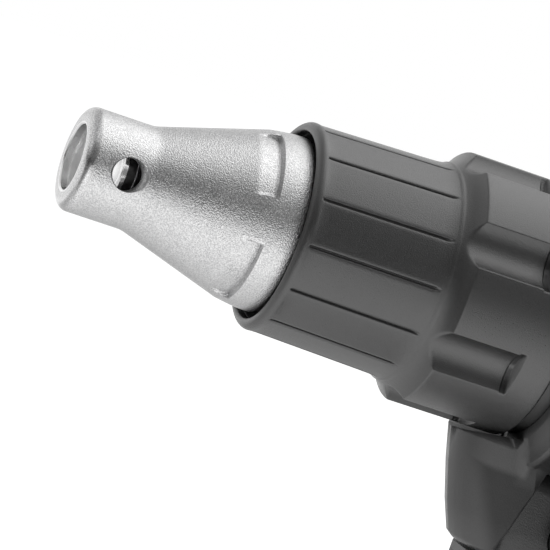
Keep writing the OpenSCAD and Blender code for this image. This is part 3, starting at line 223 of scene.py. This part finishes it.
SIGHT_X, SIGHT_R, SIGHT_ANGLE = 10.9, 3.9, 4
sight_hole = [(SIGHT_R, 2), (SIGHT_R, 11.6), (SIGHT_R + 0.2, 12.0), (SIGHT_R + 1, 12.9),
              (SIGHT_R + 1.5, 14)]
for angle in (SIGHT_ANGLE, SIGHT_ANGLE + 180):
    drill(nosepiece, SIGHT_X, angle, sight_hole)
smooth(nosepiece, 40)


class Signal:
    """A value on its way through a node tree. Sums on it add Math nodes."""

    def __init__(self, wiring, socket):
        self.wiring, self.socket = wiring, socket

    def math(self, operation, *values):
        return self.wiring.node("Math", {"operation": operation}, list(values))

    def __add__(self, other):
        return self.math("ADD", self, other)

    def __sub__(self, other):
        return self.math("SUBTRACT", self, other)

    def __rsub__(self, other):
        return self.math("SUBTRACT", other, self)

    def __mul__(self, other):
        return self.math("MULTIPLY", self, other)

    __radd__, __rmul__ = __add__, __mul__

    def or_more(self, other):
        """The larger of the two."""
        return self.math("MAXIMUM", self, other)

    def rise(self, low, high):
        """0 below low, 1 above high, and smooth between them."""
        return self.wiring.node("MapRange", {"interpolation_type": "SMOOTHSTEP"},
                                {"Value": self, "From Min": low, "From Max": high})


class Wiring:
    """A tree of shader nodes."""

    def __init__(self, tree):
        self.tree = tree

    def feed(self, socket, value):
        if isinstance(value, Signal):
            self.tree.links.new(value.socket, socket)
        else:
            socket.default_value = value

    def node(self, kind, settings, sockets, output=0):
        """One node. Its sockets are a list of the first ones, or a dictionary by name or number."""
        node = self.tree.nodes.new("ShaderNode" + kind)
        for name, value in settings.items():
            setattr(node, name, value)
        for key, value in sockets.items() if isinstance(sockets, dict) else enumerate(sockets):
            self.feed(node.inputs[key], value)
        return Signal(self, node.outputs[output])

    def measure(self, operation, *vectors):
        """A length, a distance or a dot product."""
        return self.node("VectorMath", {"operation": operation}, list(vectors), "Value")

    def part(self, vector, axis):
        """One of a vector's three parts, by its number."""
        return self.node("SeparateXYZ", {}, [vector], axis)


class Finish(Wiring):
    """One surface finish: a shader with the noises and masks that feed it."""

    def __init__(self, name, colour, roughness, metallic=0.0, **constants):
        self.material = bpy.data.materials.new(name)
        self.material.use_nodes = True
        self.material.diffuse_color = (*colour, 1)
        super().__init__(self.material.node_tree)
        self.set("Base Color", (*colour, 1))
        self.set("Roughness", roughness)
        self.set("Metallic", metallic)
        for socket, value in constants.items():
            self.set(socket.replace("_", " "), value)

    def set(self, socket, value):
        self.feed(self.tree.nodes["Principled BSDF"].inputs[socket], value)

    def place(self, stretch=None):
        """The place on the piece, in metres, with each axis stretched or not."""
        here = self.node("TexCoord", {}, {}, "Object")
        return self.node("VectorMath", {"operation": "MULTIPLY"}, [here, stretch]) if stretch else here

    def along(self):
        """Millimetres behind the mouth."""
        return self.part(self.place(), 0) * 1000 + TOOL_X

    def noise(self, size, detail=2.0, roughness=0.5, stretch=None):
        """Soft noise from 0 to 1 whose grains are about size millimetres across."""
        return self.node("TexNoise", {}, {"Vector": self.place(stretch), "Scale": 1000 / size,
                                          "Detail": detail, "Roughness": roughness})

    def mix(self, factor, a, b):
        """From the colour a, where the factor is 0, to the colour b."""
        colours = [(*c, 1) if isinstance(c, tuple) else c for c in (a, b)]
        return self.node("Mix", {"data_type": "RGBA"}, {0: factor, 6: colours[0], 7: colours[1]}, 2)

    def relief(self, height, depth, edge=0.0):
        """Height in millimetres times depth as a bump, over edges rounded by edge millimetres."""
        sockets = {"Height": height, "Distance": depth / 1000, "Strength": 1.0}
        if edge:
            sockets["Normal"] = self.node("Bevel", {"samples": 4}, {"Radius": edge / 1000})
        self.set("Normal", self.node("Bump", {}, sockets))
        return self.material


def blasted_casting():
    """Grainy grey metal, smoother on the turned lip, with a painted light in the bore: its colour is raised
    to a pale grey for the light that the mouth lets in.
    """
    f = Finish("blasted_casting", (0.52,) * 3, 0.3, 1.0)
    lip = 1 - f.along().rise(1.6, 2.6)
    grain = f.noise(0.3, 1)
    broad = f.noise(6.0, 3)
    off_axis = f.measure("DISTANCE", f.place((0, 1, 1)), (0, 0, TOOL_Z / 1000)) * 1000
    # Painted light: inside the bore the colour is raised to a pale grey, for the light that falls in
    # through the mouth.
    painted_bore_light = 1 - off_axis.rise(BORE_R + 0.3, BORE_R + 0.8)
    blasted = f.mix(grain.rise(0.3, 0.7) * 0.75 + broad * 0.25, (0.36, 0.36, 0.365), (0.68,) * 3)
    f.set("Base Color", f.mix(painted_bore_light, blasted, (0.9,) * 3))
    f.set("Roughness", 0.3 - 0.1 * lip + 0.06 * grain)
    return f.relief(grain * (1 - 0.9 * lip), 0.13)


def dress(piece, material, body, node=None):
    """Gives the piece its finish and body, and hides the CAD node that it stands for."""
    piece.data.materials.clear()
    piece.data.materials.append(material)
    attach(piece, body)
    if node:
        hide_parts(node)


dress(nosepiece, blasted_casting(), "nose_cone", "nosepiece")

# Bit holder's end
# A ground and plated steel ring pressed over the black holder's front, round the quarter-inch socket,
# with a hexagon magnet set in the socket's mouth. Both show as a bright face in the sight hole.
HOLDER_X, HOLDER_R, SOCKET_R, MAGNET_AF = 11.0, 5.5, 3.45, 6.2
RING_LIP, RING_WALL, RING_LENGTH = 0.3, 0.02, 0.9
end_profile = [(HOLDER_X - 0.28, SOCKET_R), (HOLDER_X - RING_LIP, SOCKET_R + 0.1),
               (HOLDER_X - RING_LIP, HOLDER_R - RING_LIP), (HOLDER_X - 0.02, HOLDER_R + RING_WALL),
               (HOLDER_X + RING_LENGTH, HOLDER_R + RING_WALL), (HOLDER_X + RING_LENGTH, SOCKET_R)]
end_x, end_r = np.array(end_profile).T
end_angles = np.arange(0, 360, 3.75)
end_radii = np.repeat(end_r[:, None], len(end_angles), 1)
end_ring = turned_piece("holder_end_ring", end_x, end_radii, end_angles)
smooth(end_ring, 30)


def plated_steel():
    """Bright plating with faint clouds and very fine marks."""
    f = Finish("plated_ring", (0.93,) * 3, 0.22, 1.0)
    f.set("Base Color", f.mix(f.noise(0.8), (0.9,) * 3, (0.95,) * 3))
    return f.relief(f.noise(0.2, 1), 0.004)


plated_ring = plated_steel()
dress(end_ring, plated_ring, "spindle_set", "magnet_ring")
magnet_rows = ((HOLDER_X - 0.22, 0.94), (HOLDER_X - 0.05, 1), (HOLDER_X + 3, 1))
magnet_points = [round_axis(x, MAGNET_AF / math.sqrt(3) * share, 60 * k)
                 for x, share in magnet_rows for k in range(6)]
magnet_ends = [tuple(range(6)), tuple(range(12, 18))]
magnet = solid_piece("socket_magnet", magnet_points, magnet_ends + bands(3, 6))
dress(magnet, plated_ring, "spindle_set")

# Depth collar
# A soft black cover moulded over a hard core. Fourteen grooves run along its front, it flares to a
# sharp edge, and seven finger scoops cut the barrel behind it, each with a deep slot at its end.
GROOVE_STEP, GROOVE_FIRST, SCOOP_STEP = 360 / 14, -1.2, 360 / 7
FRONT_R, REAR_R, BARREL_R = 25.3, 26.2, 30.6
FRONT_X, FLARE_X, FLARE_LENGTH, FLARE_POWER = 52.4, 81.8, 9, 3.2
FRONT_ROUND, REAR_ROUND = 2, 0.9
MOUTH_R, CORE_FRONT_R, CORE_REAR_R, REAR_WALL_X = 22.75, 23.4, 26.7, 109.25
collar_outer = [(52.6, MOUTH_R), (51.0, MOUTH_R), (50.55, 22.95)]
collar_outer += arc(FRONT_X, FRONT_R - FRONT_ROUND, FRONT_ROUND, -90, 0, 8)
collar_outer += [(52.7, 25.31), (52.9, 25.31), (53.1, 25.32)]
collar_outer += [(x, FRONT_R + (REAR_R - FRONT_R) * (x - FRONT_X) / (FLARE_X - FRONT_X))
                 for x in [54 + 1.5 * i for i in range(19)]]
collar_outer += [(FLARE_X + FLARE_LENGTH * t, REAR_R + (BARREL_R - REAR_R) * t ** FLARE_POWER)
                 for t in [i / 24 for i in range(24)] + [0.97, 0.985]]
collar_outer += [(90.75, BARREL_R - 0.12), (90.9, BARREL_R - 0.03), (91.15, BARREL_R)]
# Along the barrel the stations stand closer together where the slots begin and end.
collar_outer += [(x, BARREL_R) for x in (*range(92, 107, 2), 107.2, 107.5, 107.7, 107.85, 108.2, 108.9,
                                         109.2, 109.3, 109.4, 109.6, 111, 113, 115)]
collar_outer += arc(116.9, BARREL_R - REAR_ROUND, REAR_ROUND, 0, 90, 6) + [(117.8, 28.95)]
collar_inner = [(110.4, 28.9), (110.4, 22.7), (REAR_WALL_X, 22.7), (REAR_WALL_X, CORE_REAR_R),
                (92, CORE_REAR_R), (80.8, CORE_FRONT_R), (53.2, CORE_FRONT_R), (52.65, 22.7)]
collar_x, collar_r = np.array(collar_outer + collar_inner).T
# The columns stand closer together at a groove's side and where a scoop's rim runs.
half_sector = [0, 0.35, 0.6, 0.8, 1.0, 1.35, 2.0, 3.2, 4.4, 5.6, 6.8, 8.0, 9.0, 9.6, 10.0, 10.25, 10.45,
               10.65, 10.9, 11.3, 12.0]
sector = sorted({-a for a in half_sector} | {*half_sector, GROOVE_STEP / 2})
collar_angles = np.array([GROOVE_FIRST + GROOVE_STEP * k + a for k in range(14) for a in sector])
from_groove = folded(collar_angles - GROOVE_FIRST, GROOVE_STEP)
from_scoop = folded(collar_angles - GROOVE_FIRST - GROOVE_STEP, SCOOP_STEP)
x = collar_x[:, None]


def between(value, start, full, fade, end):
    """1 from full to fade, 0 before start and after end, and smooth between them."""
    return ease(value, start, full) * (1 - ease(value, fade, end))


PANEL_CROWN, SHOULDER_DEPTH, GROOVE_DEPTH = 0.32, 0.12, 0.75
from_crown = 1 - from_groove / (GROOVE_STEP / 2)
radii = collar_r[:, None] - PANEL_CROWN * between(x, 52.0, 54.0, 80, 88) * (1 - from_crown ** 2)
radii = radii - SHOULDER_DEPTH * between(x, 52.6, 53.6, 82.5, 85.8) * (1 - ease(from_groove, 0.8, 2.0))
radii = radii - GROOVE_DEPTH * between(x, 52.6, 53.1, 83.2, 85.6) * (1 - ease(from_groove, 0.3, 0.95))
# A scoop is a round trough along the barrel. It steps down into its slot and has a soft rim.
SCOOP_CUT, SCOOP_FLOOR, SLOT_FLOOR = 7.2, 27.5, 26.8
SCOOPS_START, SCOOPS_END, SLOT_START, SLOT_END = 86, 110, 107.75, 109.32
SOFT_EDGE, NO_CUT = 0.10, 40
centre = SCOOP_FLOOR + SCOOP_CUT
aside = np.radians(from_scoop)
inside = np.clip(SCOOP_CUT ** 2 - (centre * np.sin(aside)) ** 2, 0, None)
trough = np.where(inside > 0, centre * np.cos(aside) - np.sqrt(inside), NO_CUT)
trough = np.where(x > SLOT_START, trough - (SCOOP_FLOOR - SLOT_FLOOR), trough)
trough = np.where(x > SLOT_END, NO_CUT, trough)
soft = radii - SOFT_EDGE * np.log1p(np.exp(np.clip((radii - trough) / SOFT_EDGE, -40, 40)))
radii = np.where((x > SCOOPS_START) & (x < SCOOPS_END), np.maximum(soft, SLOT_FLOOR), radii)
on_cover = np.arange(len(collar_x))[:, None] < len(collar_outer)
radii = np.where(on_cover, radii, collar_r[:, None])
collar = turned_piece("collar_cover", collar_x, radii, collar_angles)
smooth(collar)


def soft_cover(name, grey, grain, gloss):
    """Soft black moulding, matt on its grains and shinier between them."""
    f = Finish(name, (grey,) * 3, 0.45, Specular_IOR_Level=gloss)
    fine = f.noise(grain, 2, 0.6)
    broad = f.noise(9.0, 3)
    f.set("Base Color", f.mix(fine * 0.7 + broad * 0.3, (grey * 0.55,) * 3, (grey * 1.45,) * 3))
    f.set("Roughness", 0.24 + 0.12 * fine)
    return f.relief(fine, 0.08, 0.25)


collar_black = soft_cover("collar_cover", 0.025, 0.22, 1.0)
dress(collar, collar_black, "depth_collar", "collar_grip")

# Housing shells
# Two glass-filled nylon shells that meet in the middle plane: the ring with its lip behind the collar,
# the body over the gears and the motor, the neck, and the foot with the rail for the pack.


def smoothed_copy(node):
    """A CAD node's mesh with its doubles merged, so that it can be shaded smoothly."""
    piece = bpy.data.objects.new(node + "_skin", nodes[node].data.copy())
    scene.collection.objects.link(piece)
    merge_points(piece.data, 2e-6, turn_outwards=False)
    smooth(piece, 32)
    return piece


def housing_nylon():
    """Dark nylon, smoother on the front ring and on the neck's front, and painted lighter there: a painted
    light for the light that falls on those faces.
    """
    f = Finish("housing_nylon", (0.022,) * 3, 0.45, Specular_IOR_Level=0.5)
    up = f.part(f.place(), 2) * 1000 - TOOL_Z
    behind_front = (f.along() + up * 0.52).rise(92.5, 97.5)
    above_foot = up.rise(-72, -56)
    behind_ring = f.along().rise(124.5, 126)
    above_neck = up.rise(-38, -36)
    # Painted light: the front ring and the neck's front are coloured lighter for the light that falls on
    # them, and are made smoother too.
    painted_light_and_smoother = ((1 - behind_front) * above_foot).or_more((1 - behind_ring) * above_neck)
    fine = f.noise(0.3, 2, 0.6)
    base = f.mix(fine * 0.3 + f.noise(12.0, 3) * 0.7, (0.018,) * 3, (0.026,) * 3)
    f.set("Base Color", f.mix(painted_light_and_smoother, base, (0.1,) * 3))
    f.set("Roughness", 0.45 + 0.1 * fine - 0.12 * painted_light_and_smoother)
    return f.relief(fine, 0.05, 0.35)


shell_grey = housing_nylon()
for side in ("left_shell", "right_shell"):
    dress(smoothed_copy(side), shell_grey, "housing", side)

# Soft covers and bumper
# Black rubber moulded over the neck's sides and the handle of each shell, and the bumper round the
# rear of the body, which takes the knocks when the tool is put down.
grip_black = soft_cover("grip_cover", 0.02, 0.3, 0.55)
for cover in ("left_grip", "right_grip", "rear_bumper"):
    dress(smoothed_copy(cover), grip_black, "housing", cover)

# Grip studs
# Rows of small domes moulded with the soft covers, set out round the handle and along it. They keep
# clear of the lock button.


def repeated(name, points, ways, unit, size, material):
    """One mesh: the unit set on each point, with its +Z turned to that point's way."""
    piece = add_piece(name, points, [])
    stored = piece.data.attributes.new("way", "FLOAT_VECTOR", "POINT")
    stored.data.foreach_set("vector", np.array(ways, float).ravel())
    tree = bpy.data.node_groups.new(name, "GeometryNodeTree")
    tree.interface.new_socket("Geometry", in_out="INPUT", socket_type="NodeSocketGeometry")
    settings = {}
    for key, kind, value in (("Unit", "Object", unit), ("Size", "Float", size),
                             ("Finish", "Material", material)):
        socket = tree.interface.new_socket(key, in_out="INPUT", socket_type="NodeSocket" + kind)
        settings[socket.identifier] = value
    tree.interface.new_socket("Geometry", in_out="OUTPUT", socket_type="NodeSocketGeometry")
    given = tree.nodes.new("NodeGroupInput").outputs
    made = tree.nodes.new("NodeGroupOutput").inputs
    source = tree.nodes.new("GeometryNodeObjectInfo")
    way = tree.nodes.new("GeometryNodeInputNamedAttribute")
    way.data_type = "FLOAT_VECTOR"
    way.inputs["Name"].default_value = "way"
    turn = tree.nodes.new("FunctionNodeAlignRotationToVector")
    turn.axis = "Z"
    copies = tree.nodes.new("GeometryNodeInstanceOnPoints")
    real = tree.nodes.new("GeometryNodeRealizeInstances")
    finish = tree.nodes.new("GeometryNodeSetMaterial")
    for start, end in ((given["Geometry"], copies.inputs["Points"]),
                       (given["Unit"], source.inputs["Object"]),
                       (source.outputs["Geometry"], copies.inputs["Instance"]),
                       (way.outputs[0], turn.inputs["Vector"]),
                       (turn.outputs[0], copies.inputs["Rotation"]),
                       (given["Size"], copies.inputs["Scale"]),
                       (copies.outputs[0], real.inputs[0]),
                       (real.outputs[0], finish.inputs["Geometry"]),
                       (given["Finish"], finish.inputs["Material"]),
                       (finish.outputs[0], made[0])):
        tree.links.new(start, end)
    repeat = piece.modifiers.new("repeat", "NODES")
    repeat.node_group = tree
    for identifier, value in settings.items():
        repeat[identifier] = value
    apply_modifiers(piece, unit)
    return piece


def circle(radii, z):
    """Points round Z at one height, one for each radius."""
    turns = [2 * math.pi * k / len(radii) for k in range(len(radii))]
    return [(r * math.cos(turn), r * math.sin(turn), z) for r, turn in zip(radii, turns)]


def dome(rings, foot_z, top_z):
    """A small closed solid round Z, from rings (radius, height) between two points on the axis."""
    n = 8
    points = [(0, 0, foot_z)]
    for r, z in rings:
        points += circle([r] * n, z)
    points.append((0, 0, top_z))
    last = len(points) - 1
    faces = [tuple(corner + 1 for corner in face) for face in bands(len(rings), n)]
    for k in range(n):
        following = (k + 1) % n
        faces += [(0, 1 + following, 1 + k), (last, last - n + k, last - n + following)]
    return solid_piece("stud", points, faces)


def on_surface(node, starts, way):
    """Where rays from the starts meet a CAD node from outside, and the surface's normals there."""
    mesh = nodes[node].data
    way = Vector(way)
    tree = BVHTree.FromPolygons([v.co for v in mesh.vertices], [tuple(p.vertices) for p in mesh.polygons])
    hits = [tree.ray_cast(Vector(start), way)[:2] for start in starts]
    return [(place, normal if normal.dot(way) < 0 else -normal) for place, normal in hits
            if place is not None]


MILLIMETRE = 0.001
STUD_ROWS, STUD_COLUMNS, STUD_ROW_PITCH, STUD_PITCH = 26, 15, 3.4, 2.1
STUD_TOP_Z, STUDS_FORWARD, STUDS_BACK = -64, 14, 15
GRIP_X, GRIP_Z, GRIP_LEAN = 153, -62, 0.165
LOCK_X, LOCK_Z, LOCK_CLEAR = 158, -70, 8
for side, way in (("left", 1), ("right", -1)):
    starts = []
    for row in range(STUD_ROWS):
        z = STUD_TOP_Z - STUD_ROW_PITCH * row
        middle = GRIP_X + (GRIP_Z - z) * GRIP_LEAN
        shift = STUD_PITCH / 2 if row % 2 else 0
        for column in range(STUD_COLUMNS):
            x = middle - STUDS_FORWARD + STUD_PITCH * column + shift
            if math.hypot(x - LOCK_X, z - LOCK_Z) > LOCK_CLEAR and x < middle + STUDS_BACK:
                starts.append(in_row(x, -60 * way, z))
    hits = on_surface(side + "_grip", starts, (0, way, 0))
    stud = dome([(0.62, -0.3), (0.62, 0.0), (0.48, 0.2), (0.25, 0.31)], -0.3, 0.34)
    places, normals = zip(*hits)
    studs = repeated(side + "_grip_studs", places, normals, stud, MILLIMETRE, grip_black)
    smooth(studs, 50)
    dress(studs, grip_black, "housing")

# Shell screws
# Black pan-head screws with six-lobed sockets, driven from the right side. Each stands at the bottom
# of its hole in the right shell and holds the two shells together.
screw_places = [(159, 12, 22), (217.8, 12, 9), (217.8, 12, -27), (165.5, 7, -51), (166, 6, -112),
                (175, 6, -148), (135.5, 11, -176), (227, 11, -176)]


def socket_head():
    """A domed head over its shank, with a six-lobed socket sunk into it, in millimetres about Z."""
    n = 48
    socket_z, rim_z, shank_r, shank_z = 0.7, 2.0, 1.48, -14
    lobes = [1.35 + 0.22 * math.cos(6 * 2 * math.pi * k / n) for k in range(n)]
    points = circle([0] * n, socket_z) + circle(lobes, socket_z) + circle(lobes, rim_z)
    outside = [(1.85, 1.98), (2.5, 1.75), (2.95, 1.2), (2.95, 0), (shank_r, 0), (shank_r, shank_z)]
    for r, z in outside:
        points += circle([r] * n, z)
    rows = len(points) // n
    return solid_piece("head", points, bands(rows, n) + [tuple(range((rows - 1) * n, rows * n))])


def moulded(name, colour, grain=0.3, depth=0.05, edge=0.35, rough=0.45):
    """Moulded plastic or a black coating, with a fine grain over broad, faint clouds."""
    f = Finish(name, colour, rough, Specular_IOR_Level=0.9)
    fine = f.noise(grain, 2, 0.6)
    broad = f.noise(12.0, 3)
    dark = tuple(c * 0.85 for c in colour)
    light = tuple(c * 1.18 for c in colour)
    f.set("Base Color", f.mix(fine * 0.3 + broad * 0.7, dark, light))
    f.set("Roughness", rough - 0.05 + 0.12 * fine)
    return f.relief(fine, depth, edge)


screw_black = moulded("screw_black", (0.02,) * 3, grain=0.2, depth=0.01, edge=0.1, rough=0.3)
screws = repeated("shell_screws_driven", [in_row(*place) for place in screw_places],
                  [(0, 1, 0)] * len(screw_places), socket_head(), MILLIMETRE, screw_black)
smooth(screws, 35)
dress(screws, screw_black, "housing", "shell_screws")

# Plain moulded and metal pieces
# The steel, alloy, copper and plastic pieces whose CAD shape is right keep it, and get the finish that
# each is made in: ground, turned, cast, wound, coated or moulded.


def steel(name, colour, roughness, stretch=None, depth=0.01):
    """Metal with fine tool marks, drawn out along the axes where the stretch is low."""
    f = Finish(name, colour, roughness, 1.0)
    lines = f.noise(0.5, 3, 0.6, stretch)
    dark = tuple(c * 0.85 for c in colour)
    light = tuple(min(1, c * 1.1) for c in colour)
    f.set("Base Color", f.mix(lines, dark, light))
    f.set("Roughness", roughness - 0.05 + 0.12 * lines)
    return f.relief(lines, depth, 0.2)


around = (6, 1, 1)
finishes = {
    "case_metal": moulded("case_coating", (0.02,) * 3, depth=0.02, edge=0.3),
    "ground_steel": steel("ground_steel", (0.55, 0.55, 0.56), 0.28, around),
    "bright_steel": steel("bright_steel", (0.75, 0.75, 0.77), 0.12, around, depth=0.004),
    "black_steel": moulded("black_steel", (0.012,) * 3, grain=0.2, depth=0.01, edge=0.2, rough=0.35),
    "gear_steel": steel("gear_steel", (0.36, 0.36, 0.37), 0.34, around),
    "cast_alloy": steel("cast_alloy", (0.5, 0.5, 0.51), 0.45),
    "bronze": steel("sintered_bronze", (0.55, 0.36, 0.13), 0.4),
    "brass": steel("turned_brass", (0.7, 0.52, 0.2), 0.3, around),
    "core_iron": steel("core_sheets", (0.13, 0.13, 0.14), 0.5, (14, 1, 1), depth=0.03),
    "black_plastic": moulded("black_plastic", (0.02,) * 3, depth=0.03),
    "module_plastic": moulded("module_plastic", (0.09,) * 3, depth=0.02),
    "nickel": steel("nickel_strip", (0.62, 0.61, 0.57), 0.25),
    "winding": steel("lacquered_wire", (0.55, 0.22, 0.07), 0.3, (1, 9, 9), depth=0.05),
    "board": moulded("coated_board", (0.015, 0.09, 0.03), depth=0.01),
    "cell_wrap": moulded("cell_wrap", (0.03, 0.09, 0.2), grain=0.5, depth=0.01),
    "lead_wire": moulded("wire_cover", (0.25, 0.015, 0.012), depth=0.01),
}
slot_of = {part["node"]: part["material_slot"] for part in frame["record"]["subparts"]}
for name, piece in nodes.items():
    if slot_of[name] in finishes:
        piece.data.materials.clear()
        piece.data.materials.append(finishes[slot_of[name]])

# Springs
# Three compression springs. Each goes with the part that presses on it.
springs = (("clutch_spring", "spindle_set", "spindle_push", (1, 0, 0), 0.003),
           ("trigger_spring", "trigger_set", "trigger_pull", (1, 0, 0), 0.006),
           ("latch_spring", "latch", "latch_press", (0, 0, -1), 0.004))
for node, body, joint, way, travel in springs:
    spring = smoothed_copy(node)
    dress(spring, finishes["gear_steel"], body, node)
    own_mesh(spring)

# Floor and light
# Pale paper that fades into an even white surround, under one broad lamp above the tool's rear. Metal
# mirrors a room that is dark behind the viewer and to the left, and a bright patch of floor.
FLOOR_HALF, FLOOR_Z = 6, -0.0005
floor_corners = [(x * FLOOR_HALF, y * FLOOR_HALF, FLOOR_Z) for x, y in ((-1, -1), (1, -1), (1, 1), (-1, 1))]
floor = add_piece("floor", floor_corners, [(0, 1, 2, 3)])
PAPER_LIT, SURROUND_LIT = 0.3, 0.1


def when_seen(wiring, seen, lit):
    """The level for what is seen, straight, through or mirrored, and the level for the light it gives."""
    straight, mirrored, through = [wiring.node("LightPath", {}, {}, "Is %s Ray" % way)
                                   for way in ("Camera", "Glossy", "Transmission")]
    direct = straight.or_more(mirrored).or_more(through)
    return direct * seen + (1 - direct) * lit


def floor_paper():
    """White in the distance and greyer round the tool. Its mirror image is bright between the tool and
    the viewer, and dark to the right and left of that."""
    f = Finish("floor_paper", (0.8,) * 3, 0.9, Specular_IOR_Level=0.1, Emission_Strength=1.0)
    level = 0.3 + 0.7 * f.measure("LENGTH", f.place()).rise(0.35, 1.0)
    near_right = f.measure("DOT_PRODUCT", f.place(), (0.8, -0.6, 0)).rise(0.45, 0.8)
    left = f.measure("DOT_PRODUCT", f.place(), (-1, 0.5, 0)).rise(0.25, 0.45)
    near_left = left * (1 - f.part(f.place(), 1).rise(-0.1, 0.1))
    in_front = 1 - f.measure("DISTANCE", f.place(), (-0.1, -0.45, 0)).rise(0.25, 0.8)
    mirrored = f.node("LightPath", {}, {}, "Is Glossy Ray")
    seen = (level + mirrored * in_front) * (1 - 0.9 * mirrored * near_right.or_more(near_left))
    f.set("Emission Color", when_seen(f, seen, PAPER_LIT))
    return f.material


floor.data.materials.append(floor_paper())

surround = bpy.data.worlds.new("surround")
surround.use_nodes = True
scene.world = surround
room = Wiring(surround.node_tree)
sight = room.node("TexCoord", {}, {}, "Generated")
height = room.part(sight, 2)
VIEWER_WALL_DARK, CEILING_DARK, LEFT_WALL_DARK = 0.78, 0.33, 0.85
towards_viewer = room.measure("DOT_PRODUCT", sight, (-0.3, -0.95, 0)).rise(0.15, 0.75)
far_left = room.measure("DOT_PRODUCT", sight, (-0.6, 0.8, 0)).rise(0.0, 0.35)
ahead = room.measure("DOT_PRODUCT", sight, (-0.9, -0.43, 0)).rise(0.35, 0.75)
viewer_wall = 1 - VIEWER_WALL_DARK * towards_viewer * (1 - height.rise(0.55, 0.92))
ceiling = 1 - CEILING_DARK * far_left * height.rise(0.3, 0.7)
left_wall = 1 - LEFT_WALL_DARK * ahead * (1 - height.rise(0.0, 0.35))
straight = room.node("LightPath", {}, {}, "Is Camera Ray")
seen = straight + (1 - straight) * viewer_wall * ceiling * left_wall
room.feed(room.tree.nodes["Background"].inputs["Color"], when_seen(room, seen, SURROUND_LIT))

disk = bpy.data.lights.new("top_lamp", "AREA")
disk.shape, disk.size, disk.energy = "DISK", 2.4, 15
top_lamp = bpy.data.objects.new("top_lamp", disk)
scene.collection.objects.link(top_lamp)
top_lamp.location = (0.65, 0.15, 1.5)
lit_place = Vector((-0.05, 0, 0.22))
top_lamp.rotation_euler = (lit_place - top_lamp.location).to_track_quat("-Z", "Y").to_euler()
